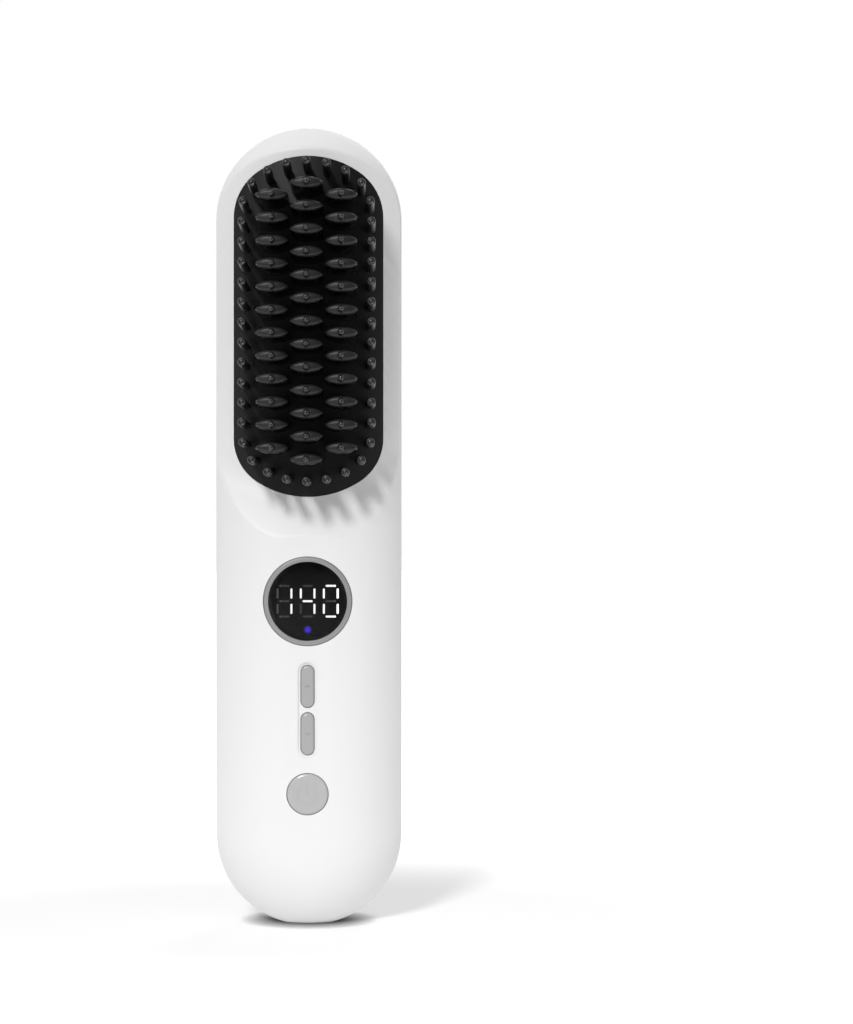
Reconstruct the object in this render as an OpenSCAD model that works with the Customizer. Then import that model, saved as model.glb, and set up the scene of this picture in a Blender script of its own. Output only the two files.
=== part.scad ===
// Cordless hot comb, standing on its foot. Millimetres.
// Drawn in plan view first: x across, y from the foot to the top, z from the
// parting plane towards the front face. upright() then stands it on +Z.

/* [Casing] */
// Overall length, foot to top
body_l = 190; // [186:1:200]
// Overall width
body_w = 44.4; // [44:0.2:48]
// Height of the front face over the parting plane
front_h = 15.8; // [15.6:0.1:17]
// Depth of the back face under the parting plane
back_h = 14.2; // [14:0.1:16]
// Height where the flat side band ends and the front curve starts
band_front = 4.1; // [3.5:0.1:5]
// Depth where the flat side band ends and the back curve starts
band_back = 3.1; // [2.5:0.1:4]
// Half width of the flat strip along the front face
front_flat = 4.2; // [3.6:0.1:4.6]
// Half width of the flat strip along the back face
back_flat = 2.2; // [1.8:0.1:3]
// Thickness of the casing walls
wall = 1.8; // [1.5:0.1:1.9]
// Depth of the flat foot cut from the rounded lower end
foot_trim = 0.8; // [0.6:0.1:1.2]
// Height of the locating lip that the front shell pushes into the rear shell
lip_h = 1.2; // [0.8:0.1:1.6]
// Thickness of the locating lip
lip_t = 0.7; // [0.5:0.1:0.9]

/* [Fits] */
// Gap all round a fixed piece that drops into another
fit = 0.1; // [0.05:0.01:0.12]
// Gap all round a button in its hole
button_gap = 0.15; // [0.1:0.01:0.2]

/* [Back panel] */
// Width of the panel that covers the casing screws
panel_w = 21; // [20:0.5:24]
// Length of the panel
panel_l = 89; // [84:1:94]
// Distance from the foot to the panel's centre
panel_y = 113.3; // [112:0.5:115]
// How far the panel stands proud of the back
panel_proud = 0.3; // [0.2:0.05:0.5]
// Depth of the panel's seat in the rear shell
panel_seat = 0.6; // [0.4:0.05:0.7]

/* [Scooped face] */
// Height of the scooped face at its centre line
scoop_level = 11.6; // [11.4:0.1:11.8]
// Radius of the scooped face's crown
scoop_r = 38; // [36:1:42]
// Slope of the ramp below the comb, degrees
ramp_angle = 24.2; // [20:0.2:28]
// Crown radius across the ramp
ramp_r = 100; // [80:5:120]

/* [Comb plate] */
// Width of the comb plate
plate_w = 35.4; // [35:0.1:35.6]
// Length of the comb plate
plate_l = 80.3; // [78:0.1:82]
// Radius of the comb plate's corners
plate_corner = 12.3; // [11.8:0.1:12.8]
// Length over which the comb plate's ends round off
plate_end = 13.9; // [13.6:0.1:14.2]
// Distance from the top of the casing to the comb plate
plate_gap = 7.95; // [7.8:0.05:9]
// Height of the comb plate's face at its centre line
plate_level = 11.9; // [11.8:0.05:12.1]
// Crown radius of the comb plate
plate_r = 36; // [34:1:40]
// Thickness of the comb plate's skin over the heated plate
plate_skin = 2; // [1.6:0.1:2.4]
// Width of the comb plate's rim, where the pins stand
rim_w = 4.6; // [4.5:0.05:4.7]
// Height of the underside of the comb plate's rim
rim_level = 5.3; // [5.1:0.1:5.6]
// Width of the ledge in the casing that carries the comb plate
ledge_w = 1.35; // [1.1:0.05:1.5]
// Thickness of the ledge
ledge_t = 1.5; // [1.3:0.1:1.7]

/* [Pins and fins] */
// Diameter of the pins
pin_d = 2; // [1.6:0.1:2.1]
// Number of pins round the rim
pin_n = 40; // [32:4:40]
// Distance from the comb plate's edge to the pin centres
pin_inset = 2.8; // [2.6:0.1:2.9]
// Extra inset of the pins at the two ends
pin_end_inset = 0.6; // [0.4:0.1:0.8]
// Height of the pin and fin tops on the centre line
tip_level = 27; // [24:0.5:30]
// Radius of the crown that the pin and fin tops follow across the comb
tip_r = 45; // [40:1:60]
// Bevel round a pin's end
pin_bevel = 0.3; // [0.2:0.05:0.4]
// Width of a fin
fin_w = 7.4; // [6.6:0.1:7.6]
// Thickness of a fin
fin_t = 2.5; // [2:0.1:2.7]
// Spacing of the fins in a column
fin_pitch = 5.29; // [5:0.01:5.3]
// Spacing of the three columns
column_pitch = 7.97; // [7.9:0.01:8.1]
// Number of fins in the centre column
fin_n = 13; // [9:2:13]
// Depth of a fin's root in the heated plate, at the outer columns
root_h = 1.6; // [1.2:0.1:1.8]
// Diameter of the round tip on each fin
nub_d = 1.3; // [1:0.1:1.5]
// Height of the round tip over its fin
nub_h = 2; // [1.4:0.1:2.4]
// Length of the tip's stem inside its fin
nub_stem = 1.5; // [1:0.1:2]

/* [Heater] */
// Width and length of the ceramic heater
heater_w = 14; // [12:1:15]
heater_l = 60; // [54:1:62]
// Thickness of the ceramic heater
heater_t = 1.5; // [1.3:0.1:1.7]
// Thickness of the mica sheet
mica_t = 0.5; // [0.3:0.1:0.6]
// Thickness of the heater bracket
bracket_t = 1.5; // [1.2:0.1:2]
// Diameter of the temperature sensor and the thermal fuse
sensor_d = 1.8; // [1.4:0.1:1.9]

/* [Side vents] */
// Length of a vent insert
vent_l = 8.5; // [7:0.1:9]
// Width of a vent insert
vent_w = 2.9; // [2.4:0.1:3.2]
// Length of the slot in a vent insert
slot_l = 4.5; // [3.6:0.1:5]
// Width of the slot in a vent insert
slot_w = 1.6; // [1.2:0.1:1.7]
// Spacing of the three vents
vent_pitch = 16.7; // [14:0.1:18]

/* [Display] */
// Distance from the foot to the display's centre
display_y = 77.2; // [77:0.1:77.8]
// Outer diameter of the display ring
ring_d = 20.8; // [20.4:0.1:21]
// Diameter of the display lens
lens_d = 18.45; // [18:0.05:18.6]
// Thickness of the lens at its centre
lens_t = 1.2; // [1:0.1:1.3]
// Height of a digit
digit_h = 7.8; // [6.8:0.1:8]
// Width of a digit
digit_w = 3.8; // [3.4:0.05:4]
// Spacing of the digits
digit_pitch = 5.4; // [5:0.1:5.6]
// Width of a segment
segment_w = 0.6; // [0.5:0.05:0.65]
// Length of a segment
segment_l = 2.4; // [2:0.1:2.5]
// Diameter of the indicator light
led_d = 1.6; // [1.2:0.1:1.8]

/* [Buttons] */
// Distance from the foot to the down button
down_y = 46.2; // [46:0.1:46.5]
// Distance from the foot to the up button
up_y = 57.3; // [57:0.1:57.6]
// Distance from the foot to the power button
power_y = 32.1; // [32:0.1:32.6]
// Length of the up and down buttons
key_l = 9.8; // [9.4:0.1:10]
// Width of the up and down buttons
key_w = 3; // [2.6:0.1:3.2]
// Diameter of the power button
power_d = 9.6; // [9:0.1:9.8]
// Width of the shallow recess round the up and down buttons
recess_w = 4.5; // [4.2:0.1:4.8]
// Depth of that recess
recess_h = 0.4; // [0.3:0.05:0.5]
// How far a button stands proud of the face at rest
button_proud = 0.15; // [0.1:0.05:0.3]
// Travel of a button
button_travel = 0.4; // [0.3:0.05:0.4]
// Bevel round a button's top edge
button_bevel = 0.25; // [0.15:0.05:0.35]

/* [Board] */
// Width of the control board
board_w = 24; // [23:0.5:24.5]
// Thickness of the control board
board_t = 1; // [0.8:0.1:1.2]
// Height of the control board's front side
board_level = 10.6; // [10.5:0.05:10.8]
// Distance from the foot to the board's lower end
board_y = 22; // [21.5:0.5:22]
// Length of the control board
board_l = 66.5; // [66:0.5:67]

/* [Battery] */
// Diameter of a cell with its sleeve
cell_d = 18.4; // [18:0.1:18.4]
// Length of a cell
cell_l = 65.2; // [60:0.1:65.5]
// Height of the cells' axes
cell_level = -0.4; // [-0.5:0.05:-0.3]
// Distance from the foot to the cells' lower ends
cell_y = 17; // [16.6:0.1:17.2]
// Thickness of the nickel strips
strip_t = 0.2; // [0.1:0.05:0.25]
// Thickness of the cell holder's end walls
holder_t = 1.1; // [0.8:0.1:1.2]

/* [Charging socket] */
// Width of the socket's shell
usb_w = 8.94; // [8.94:0.01:8.96]
// Height of the socket's shell
usb_h = 3.2; // [3.16:0.01:3.26]
// Length of the socket's shell
usb_l = 7.3; // [6.5:0.1:7.8]
// Depth of the socket's mouth behind the foot
usb_recess = 0.3; // [0.2:0.05:0.5]

/* [Screws] */
// Shank diameter of the casing screws
screw_d = 2.2; // [2:0.1:2.4]
// Outer diameter of the casing screw bosses
boss_d = 5.4; // [5:0.1:5.6]
// Shank diameter of the small screws
small_screw_d = 1.4; // [1.2:0.1:1.5]

/* [Hidden] */
$fn = 64;
far = 60; // reach of a cutter that has to pass right through

// Casing
end_r = body_w / 2;
low_y = end_r - foot_trim;
high_y = body_l - end_r;
// Radius of the arc from a flat strip to the side band
function curve_r(h, flat, band) =
    (pow(end_r - flat, 2) + pow(h - band, 2)) / (2 * (h - band));
function sag(r, x) = r - sqrt(r * r - x * x);
front_r = curve_r(front_h, front_flat, band_front);
back_r = curve_r(back_h, back_flat, band_back);

// Head
plate_y = body_l - plate_gap - plate_l / 2;
ramp_y = plate_y - plate_l / 2;
corner_x = plate_w / 2 - plate_corner;
corner_y = plate_l / 2 - plate_end;
// Radius of the flatter arc that joins the corners
tip_end_r = (pow(plate_w / 2, 2) - plate_w * plate_corner + pow(plate_end, 2))
    / (2 * (plate_end - plate_corner));
vent_y = plate_y - 0.6;
skirt_w = rim_w - ledge_w - 0.3;
skirt_level = rim_level - ledge_t - 0.3;
well_t = 1.2;
heated_level = rim_level + 0.2;
heated_crown = plate_skin + fit;
root_level = plate_level - sag(plate_r, column_pitch + fin_w / 2) - heated_crown - root_h;
pin_level = rim_level + 1;
function tip_height(x) = tip_level - sag(tip_r, x);
heater_level = heated_level - heater_t;
mica_level = heater_level - mica_t;
bracket_level = skirt_level - bracket_t;
bracket_inset = rim_w - skirt_w;
bracket_screw_x = plate_w / 2 - rim_w + skirt_w / 2;
bracket_screw_y = 18;
lead_slot = [11, 5];
lead_slot_y = plate_y - heater_l / 2 - 1;

// Casing screws
screw_x = 7.5;
low_screw_y = ramp_y - 8.3;
high_screw_y = plate_y + 10.2;
boss_meet = -4;
screw_tip = 2.8;
head_d = 2 * screw_d - 0.4;
head_t = 1.4;
head_level = -10.8;
panel_corner = 4;

// Pins on the plate's outline drawn in, evenly spaced from the top centre
tip_turn = atan2(corner_x, tip_end_r - plate_end);
pin_tip_r = tip_end_r - pin_inset;
pin_corner_r = plate_corner - pin_inset;
pin_half = corner_y - pin_end_inset;
pin_tip_arc = pin_tip_r * tip_turn * PI / 180;
pin_quarter = pin_tip_arc + pin_corner_r * (90 - tip_turn) * PI / 180;
pin_step = 4 * (pin_quarter + pin_half) / pin_n;
// Point at distance s along a quarter of the path, from the end to the side
function pin_round(s) = let (a = s < pin_tip_arc ? s / pin_tip_r * 180 / PI
                             : tip_turn + (s - pin_tip_arc) / pin_corner_r * 180 / PI)
    s < pin_tip_arc
    ? [pin_tip_r * sin(a), pin_half + plate_end - tip_end_r + pin_tip_r * cos(a)]
    : [corner_x + pin_corner_r * sin(a), pin_half + pin_corner_r * cos(a)];
function pin_point(s) = let (far_s = 2 * (pin_quarter + pin_half) - s)
    s < pin_quarter ? pin_round(s)
    : far_s < pin_quarter ? [pin_round(far_s)[0], -pin_round(far_s)[1]]
    : [plate_w / 2 - pin_inset, pin_half + pin_quarter - s];
pin_at = [for (k = [0:pin_n / 2]) let (p = pin_point(k * pin_step))
          for (side = k == 0 || k == pin_n / 2 ? [1] : [-1, 1]) [side * p[0], plate_y + p[1]]];

// Display and buttons
lens_level = front_h - lens_t;
ring_ledge = 0.7;
ring_depth = 2.4;
segment_t = 0.15;
module_d = lens_d - 2 * ring_ledge - 2 * fit;
module_h = lens_level - 0.1 - segment_t - board_level;
led_drop = 6.65;
button_top = front_h + button_proud;
flange_t = 0.6;
flange_level = front_h - wall - 0.2 - flange_t;
flange_over = 1.2;
plunger_d = 1.8;
plunger_h = 1.4;
plunger_level = flange_level - 0.6 - plunger_h;
switch_w = 4.5;
switch_h = 1.5;
stem_d = 2;

// Board
board_back = board_level - board_t;
board_screw_at = [[0, board_y + 2.4], [10, board_y + board_l - 2.9], [-10, board_y + board_l - 2.9]];
board_screw_tip = board_level + 2.3;
small_head_d = 2 * small_screw_d;
small_head_t = 0.7;

// Battery and charging socket
cell_x = cell_d / 2 + 0.1;
cell_end = cell_y + cell_l;
holder_level = -5;
strip_w = 6;
holder_w = body_w - 12.4;
pad_w = board_w - 2;
pad_l = cell_l / 2;
usb_board_t = 0.8;
usb_board_level = -usb_h / 2;
usb_board_w = 16;
usb_board_y = 3.6;
usb_board_l = 8.4;
usb_screw_at = [6, usb_board_y + usb_board_l - 1.9];
lead_d = 1.1;

module upright() rotate([90, 0, 0]) children();

// ---- casing forms ----

// Half of the casing's cross-section, x outwards from the middle, y up from the parting plane
module half_section(h, flat, r, t) {
    intersection() {
        square([end_r - t, h - t]);
        union() {
            square([flat, h - t]);
            translate([flat, h - r]) circle(r - t);
        }
    }
}

// Carries a half section along the sides and round both ends
module sweep() {
    translate([0, high_y]) rotate_extrude(angle = 180) children();
    translate([0, low_y]) rotate([0, 0, 180]) rotate_extrude(angle = 180) children();
    translate([0, high_y]) rotate([90, 0, 0]) linear_extrude(high_y - low_y) {
        children();
        mirror([1, 0]) children();
    }
}

module footed(t) {
    difference() {
        children();
        translate([-far, t - far, -far]) cube([2 * far, far, 2 * far]);
    }
}

// The casing's front and back halves, drawn in by t
module front_form(t) footed(t) sweep() half_section(front_h, front_flat, front_r, t);
module back_form(t)
    footed(t) mirror([0, 0, 1]) sweep() half_section(back_h, back_flat, back_r, t);

// What lies under the scooped face and its ramp, drawn in by t
module under_scoop(t) {
    translate([0, body_l / 2, scoop_level - scoop_r]) rotate([90, 0, 0])
        cylinder(r = scoop_r - t, h = 2 * body_l, center = true);
    translate([0, ramp_y, scoop_level]) rotate([-ramp_angle, 0, 0]) translate([0, 0, -ramp_r])
        rotate([90, 0, 0]) cylinder(r = ramp_r - t, h = 3 * body_l, center = true);
}

module front_solid(t) {
    intersection() {
        front_form(t);
        under_scoop(t);
    }
}

// ---- plain shapes ----

// Stadium outline, length along y
module stadium(w, l) {
    for (s = [-1, 1]) translate([0, s * (l - w) / 2]) circle(w / 2);
    square([w, l - w], center = true);
}

// The comb plate's outline, drawn in by inset: straight sides, round corners, flatter ends
module plate_outline(inset) {
    r = plate_corner - inset;
    side = plate_w / 2 - inset;
    for (s = [-1, 1]) {
        for (t = [-1, 1]) translate([s * corner_x, t * corner_y]) circle(r);
        translate([0, s * (corner_y + plate_end - tip_end_r)]) intersection() {
            circle(tip_end_r - inset);
            polygon([[0, 0], [-far * corner_x, s * far * (tip_end_r - plate_end)],
                     [far * corner_x, s * far * (tip_end_r - plate_end)]]);
        }
    }
    square([2 * side, 2 * corner_y], center = true);
}

// Slab of that outline from level a to level b
module plate_slab(inset, a, b)
    translate([0, plate_y, a]) linear_extrude(b - a) plate_outline(inset);

// Stadium slab from level a to level b
module slab(w, l, a, b) translate([0, 0, a]) linear_extrude(b - a) stadium(w, l);

// Lens outline, length along x, drawn out by g
module lens(g) {
    r = (pow(fin_w / 2, 2) + pow(fin_t / 2, 2)) / fin_t;
    intersection() {
        translate([0, r - fin_t / 2]) circle(r + g);
        translate([0, fin_t / 2 - r]) circle(r + g);
    }
}

// Round wire through a list of points
module wire(points) {
    for (i = [0:len(points) - 2]) {
        run = points[i + 1] - points[i];
        translate(points[i])
            rotate([0, acos(run[2] / norm(run)), atan2(run[1], run[0])])
                cylinder(d = lead_d, h = norm(run));
    }
    for (i = [1:len(points) - 2]) translate(points[i]) sphere(d = lead_d);
}

module mirrored_x() {
    children();
    mirror([1, 0, 0]) children();
}

module at_vents() {
    for (k = [-1:1]) translate([0, vent_y + k * vent_pitch, 0]) children();
}

// Stadium prism along x, length along y
module side_slab(w, l, a, b) translate([a, 0, 0]) rotate([90, 0, 90]) linear_extrude(b - a)
    rotate([0, 0, 90]) stadium(w, l);

// ---- casing ----

module at_casing_screws() {
    for (y = [low_screw_y, high_screw_y]) for (s = [-1, 1])
        translate([s * screw_x, y, 0]) children();
}

module vent_holes() {
    at_vents() mirrored_x() {
        side_slab(vent_w + 2 * fit, vent_l + 2 * fit, end_r - 2 * wall, end_r + 1);
        side_slab(vent_w + 2, vent_l + 2, end_r - 2 * wall, end_r - wall);
    }
}

module usb_mouth() {
    translate([0, -1, 0]) rotate([-90, 0, 0]) linear_extrude(wall + 2)
        rotate([0, 0, 90]) stadium(usb_h + 2 * fit, usb_w + 2 * fit);
}

module key_recess() {
    slab(recess_w, up_y - down_y + key_l + recess_w - key_w, front_h - recess_h, front_h + 2);
}

module front_bosses() {
    intersection() {
        for (s = [-1, 1]) translate([s * screw_x, low_screw_y, boss_meet])
            cylinder(d = boss_d, h = far);
        union() {
            front_solid(wall / 2);
            translate([-far, low_screw_y - boss_d, boss_meet]) cube([2 * far, 2 * boss_d, 6]);
        }
    }
    intersection() {
        for (p = board_screw_at) translate([p[0], p[1], board_level])
            cylinder(d = small_screw_d + 2.6, h = far);
        front_solid(wall / 2);
    }
}

// Ring between two insets from the casing's side, over levels a to b and clear of the foot
module wall_ring(outer, inner, a, b) {
    long = high_y - low_y + body_w;
    translate([0, (high_y + low_y) / 2, 0]) difference() {
        slab(body_w - 2 * outer, long - 2 * outer, a, b);
        slab(body_w - 2 * inner, long - 2 * inner, -far, far);
        translate([-far, -2 * body_l, -far])
            cube([2 * far, 2 * body_l - (high_y + low_y) / 2 + 2 * wall + fit, 2 * far]);
    }
}

module locating_lip() {
    wall_ring(wall + fit, wall + fit + lip_t, -lip_h, 1);
    // Ties the lip to the wall above the parting plane
    wall_ring(wall / 2, wall + fit + lip_t, 0.2, 1);
}

module front_shell() color("white") upright() difference() {
    union() {
        difference() {
            front_solid(0);
            front_solid(wall);
        }
        intersection() {
            front_solid(0);
            plate_slab(-fit - well_t, rim_level - ledge_t, far);
        }
        front_bosses();
        locating_lip();
    }
    plate_slab(-fit, rim_level, far);
    plate_slab(ledge_w, 0, far);
    translate([0, display_y, 0]) cylinder(d = ring_d + 2 * fit, h = far);
    translate([0, (up_y + down_y) / 2, 0]) key_recess();
    for (y = [up_y, down_y]) translate([0, y, 0])
        slab(key_w + 2 * button_gap, key_l + 2 * button_gap, 0, far);
    translate([0, power_y, 0]) cylinder(d = power_d + 2 * button_gap, h = far);
    for (s = [-1, 1]) translate([s * screw_x, low_screw_y, boss_meet - 1])
        cylinder(d = screw_d, h = screw_tip - boss_meet + 1.5);
    for (p = board_screw_at) translate([p[0], p[1], 0])
        cylinder(d = small_screw_d, h = board_screw_tip + 0.1);
    vent_holes();
    usb_mouth();
}

module panel_outline(g) {
    c = panel_corner - g;
    w = panel_w + 2 * g;
    l = panel_l + 2 * g;
    square([w - 2 * c, l], center = true);
    square([w, l - 2 * c], center = true);
    for (sx = [-1, 1]) for (sy = [-1, 1])
        translate([sx * (w / 2 - c), sy * (l / 2 - c)]) circle(c);
}

// What lies on the back over depth t, within the panel's outline
module panel_block(g, t) {
    difference() {
        translate([0, panel_y, -far]) linear_extrude(far - 5) panel_outline(g);
        back_form(t);
    }
}

module back_panel() color("white") upright() intersection() {
    panel_block(0, panel_seat);
    back_form(-panel_proud);
}

module rear_bosses() {
    intersection() {
        union() {
            at_casing_screws() translate([0, 0, boss_meet - far]) cylinder(d = boss_d, h = far);
            for (s = [-1, 1])
                translate([s * usb_screw_at[0], usb_screw_at[1],
                           usb_board_level - usb_board_t - far])
                    cylinder(d = small_screw_d + 2, h = far);
        }
        back_form(wall / 2);
    }
}

module rear_shell() color("white") upright() difference() {
    union() {
        difference() {
            back_form(0);
            back_form(wall);
        }
        rear_bosses();
    }
    panel_block(fit, panel_seat);
    at_casing_screws() {
        translate([0, 0, -far]) cylinder(d = screw_d + 0.4, h = far);
        translate([0, 0, -far]) cylinder(d = head_d + 0.4, h = far + head_level);
    }
    for (s = [-1, 1])
        translate([s * usb_screw_at[0], usb_screw_at[1], usb_board_level - usb_board_t - 4])
            cylinder(d = small_screw_d, h = 5);
    vent_holes();
    usb_mouth();
}

module shell_screws() color("silver") upright() at_casing_screws() {
    translate([0, 0, head_level]) cylinder(d = screw_d, h = screw_tip - head_level);
    translate([0, 0, head_level - head_t]) difference() {
        cylinder(d = head_d, h = head_t);
        for (a = [0, 90]) rotate([0, 0, a]) cube([head_d * 0.6, 0.5, 1.4], center = true);
    }
}

module vent_inserts() {
    at_vents() difference() {
        union() {
            side_slab(vent_w, vent_l, end_r - wall - 0.1, end_r - 0.1);
            side_slab(vent_w + 1.4, vent_l + 1.4, end_r - wall - 0.9, end_r - wall - 0.1);
        }
        side_slab(slot_w, slot_l, end_r - 2 * wall, end_r + 1);
    }
}

module left_vent_inserts() color("gray") upright() mirror([1, 0, 0]) vent_inserts();
module right_vent_inserts() color("gray") upright() vent_inserts();

// ---- comb ----

// What lies under the comb plate's crown, drawn in by t
module under_crown(t) {
    translate([0, plate_y, plate_level - plate_r]) rotate([90, 0, 0])
        cylinder(r = plate_r - t, h = 2 * plate_l, center = true);
}

// Children at each fin of column c: -1 left, 0 centre, 1 right
module at_fins(c) {
    n = c == 0 ? fin_n : fin_n - 1;
    for (i = [0:n - 1])
        translate([c * column_pitch, plate_y + (i - (n - 1) / 2) * fin_pitch, 0]) children();
}

module at_bracket_screws() {
    for (sx = [-1, 1]) for (sy = [-1, 1])
        translate([sx * bracket_screw_x, plate_y + sy * bracket_screw_y, 0]) children();
}

module comb_frame() color("black") upright() difference() {
    union() {
        intersection() {
            plate_slab(0, rim_level, far);
            under_crown(0);
        }
        plate_slab(bracket_inset, skirt_level, rim_level + 0.1);
    }
    intersection() {
        plate_slab(rim_w, 0, far);
        under_crown(plate_skin);
    }
    for (c = [-1:1]) at_fins(c) translate([0, 0, rim_level]) linear_extrude(far) lens(fit);
    for (p = pin_at) translate([p[0], p[1], pin_level]) cylinder(d = pin_d, h = far);
    at_bracket_screws() cylinder(d = small_screw_d, h = rim_level + 1);
}

module outer_pins() color("black") upright() for (p = pin_at) translate([p[0], p[1], pin_level]) {
    top = tip_height(p[0]) - pin_level;
    cylinder(d = pin_d, h = top - pin_bevel);
    translate([0, 0, top - pin_bevel])
        cylinder(d1 = pin_d, d2 = pin_d - 2 * pin_bevel, h = pin_bevel);
}

module heating_plate() color("dimgray") upright() difference() {
    intersection() {
        plate_slab(rim_w + fit, heated_level, far);
        under_crown(heated_crown);
    }
    for (c = [-1:1]) at_fins(c) translate([0, 0, root_level]) linear_extrude(far) lens(0);
}

// A fin with a top rounded both ways and a hole for its tip
module fin(top) {
    difference() {
        intersection() {
            translate([0, 0, root_level]) linear_extrude(top - root_level) lens(0);
            translate([0, 0, top - 1.5 * fin_w]) rotate([90, 0, 0])
                cylinder(r = 1.5 * fin_w, h = far, center = true);
            union() {
                translate([0, 0, top - fin_t]) rotate([0, 90, 0])
                    cylinder(r = fin_t, h = far, center = true);
                translate([-far, -far, 0]) cube([2 * far, 2 * far, top - fin_t]);
            }
        }
        translate([0, 0, top - nub_stem]) cylinder(d = nub_d, h = far);
    }
}

module fins(c) at_fins(c) fin(tip_height(c * column_pitch));
module left_fins() color("black") upright() fins(-1);
module centre_fins() color("black") upright() fins(0);
module right_fins() color("black") upright() fins(1);

module fin_tips(c) at_fins(c) translate([0, 0, tip_height(c * column_pitch)]) {
    translate([0, 0, -nub_stem]) cylinder(d = nub_d, h = nub_stem + nub_h - nub_d / 2);
    translate([0, 0, nub_h - nub_d / 2]) sphere(d = nub_d);
}
module left_fin_tips() color("black") upright() fin_tips(-1);
module centre_fin_tips() color("black") upright() fin_tips(0);
module right_fin_tips() color("black") upright() fin_tips(1);

// ---- heater ----

module ceramic_heater() color("ivory") upright()
    translate([-heater_w / 2, plate_y - heater_l / 2, heater_level])
        cube([heater_w, heater_l, heater_t]);

module mica_sheet() color("tan") upright()
    translate([-heater_w / 2 - 1, plate_y - heater_l / 2 + 4, mica_level])
        cube([heater_w + 2, heater_l - 4, mica_t]);

module heater_bracket() color("beige") upright() difference() {
    union() {
        plate_slab(bracket_inset, bracket_level, skirt_level);
        for (s = [-1, 1]) translate([s * screw_x, high_screw_y, boss_meet])
            cylinder(d = boss_d, h = skirt_level - boss_meet);
        // Pads that hold the mica sheet and the heater against the heated plate
        for (y = [-22, -4, 24]) translate([-heater_w / 2, plate_y + y - 2, bracket_level])
            cube([heater_w, 4, mica_level - bracket_level]);
    }
    for (s = [-1, 1]) translate([s * screw_x, high_screw_y, boss_meet - 1])
        cylinder(d = screw_d, h = screw_tip - boss_meet + 1.2);
    at_bracket_screws() cylinder(d = small_screw_d + 0.2, h = far);
    translate([-lead_slot[0] / 2, lead_slot_y, 0]) cube([lead_slot[0], lead_slot[1], far]);
    // Windows that lighten the bracket and let the sensor leads out
    for (y = [-13, 7]) translate([-5, plate_y + y - 4, 0]) cube([10, 8, far]);
}

module bracket_screws() color("silver") upright() at_bracket_screws() {
    cylinder(d = small_screw_d, h = rim_level + 0.8);
    translate([0, 0, bracket_level - small_head_t])
        cylinder(d = small_head_d - 0.2, h = small_head_t);
}

module thermistor() color("orange") upright()
    translate([heater_w / 2 + 2.6, plate_y - 6, heated_level - sensor_d / 2]) rotate([90, 0, 0])
        cylinder(d = sensor_d, h = 4);

module thermal_fuse() color("silver") upright()
    translate([-heater_w / 2 - 2.6, plate_y + 6, heated_level - sensor_d / 2]) rotate([90, 0, 0])
        cylinder(d = sensor_d, h = 10);

module heater_leads() color("red") upright() {
    y = lead_slot_y + lead_slot[1] / 2;
    end_y = board_y + board_l - 3;
    for (x = [-2.2, 2.2])
        wire([[x, y, heater_level], [x, y, 0], [x, end_y, 0], [x, end_y, board_back]]);
}

// ---- display ----

module display_ring() color("gray") upright() translate([0, display_y, 0]) difference() {
    intersection() {
        translate([0, 0, front_h - ring_depth]) cylinder(d = ring_d, h = far);
        translate([0, -display_y, 0]) front_form(-0.02);
    }
    translate([0, 0, lens_level]) cylinder(d = lens_d + 2 * fit, h = far);
    cylinder(d = lens_d - 2 * ring_ledge, h = far);
}

module display_lens() color("black") upright() intersection() {
    translate([0, display_y, lens_level]) cylinder(d = lens_d, h = far);
    front_form(0.02);
}

module display_module() color("black") upright() translate([0, display_y, 0]) difference() {
    translate([0, 0, board_level]) cylinder(d = module_d, h = module_h);
    translate([0, -led_drop, board_level + module_h - 1]) cylinder(d = led_d, h = far);
}

module indicator_light() color("blue") upright()
    translate([0, display_y - led_drop, board_level + module_h - 1])
        cylinder(d = led_d, h = 1 + segment_t);

// Segments a to g of a seven-segment digit: centre and whether it lies across
segment_place = [
    [0, 1, true], [1, 0.5, false], [1, -0.5, false], [0, -1, true],
    [-1, -0.5, false], [-1, 0.5, false], [0, 0, true]];
// Segments that each digit lights, hundreds first: 1, 4, 0
digit_lit = [[1, 2], [1, 2, 5, 6], [0, 1, 2, 3, 4, 5]];

module segments(lit) {
    span = [digit_w - segment_w, digit_h - segment_w];
    for (d = [0:2]) for (i = [0:6]) if ((len(search(i, digit_lit[d])) > 0) == lit) {
        p = segment_place[i];
        translate([(d - 1) * digit_pitch + p[0] * span[0] / 2, display_y + p[1] * span[1] / 2,
                   board_level + module_h])
            linear_extrude(segment_t) rotate([0, 0, p[2] ? 90 : 0])
                stadium(segment_w, segment_l);
    }
}

module lit_segments() color("white") upright() segments(true);
module unlit_segments() color("dimgray") upright() segments(false);

// ---- buttons and switches ----

// Stadium block with a bevelled top edge
module bevelled_key(w, l, a, b) {
    c = button_bevel;
    slab(w, l, a, b - c);
    for (s = [-1, 1]) translate([0, s * (l - w) / 2, b - c])
        cylinder(d1 = w, d2 = w - 2 * c, h = c);
    translate([0, (l - w) / 2, b - c]) rotate([90, 0, 0]) linear_extrude(l - w)
        polygon([[-w / 2, 0], [w / 2, 0], [w / 2 - c, c], [c - w / 2, c]]);
}

module key(y) color("darkgray") upright() translate([0, y, 0]) {
    bevelled_key(key_w, key_l, flange_level, button_top);
    translate([-key_w / 2 - flange_over, -key_l / 2 - 0.1, flange_level])
        cube([key_w + 2 * flange_over, key_l + 0.2, flange_t]);
    translate([0, 0, plunger_level + plunger_h])
        cylinder(d = stem_d, h = flange_level + 0.1 - plunger_level - plunger_h);
}
module up_button() key(up_y);
module down_button() key(down_y);

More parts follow.
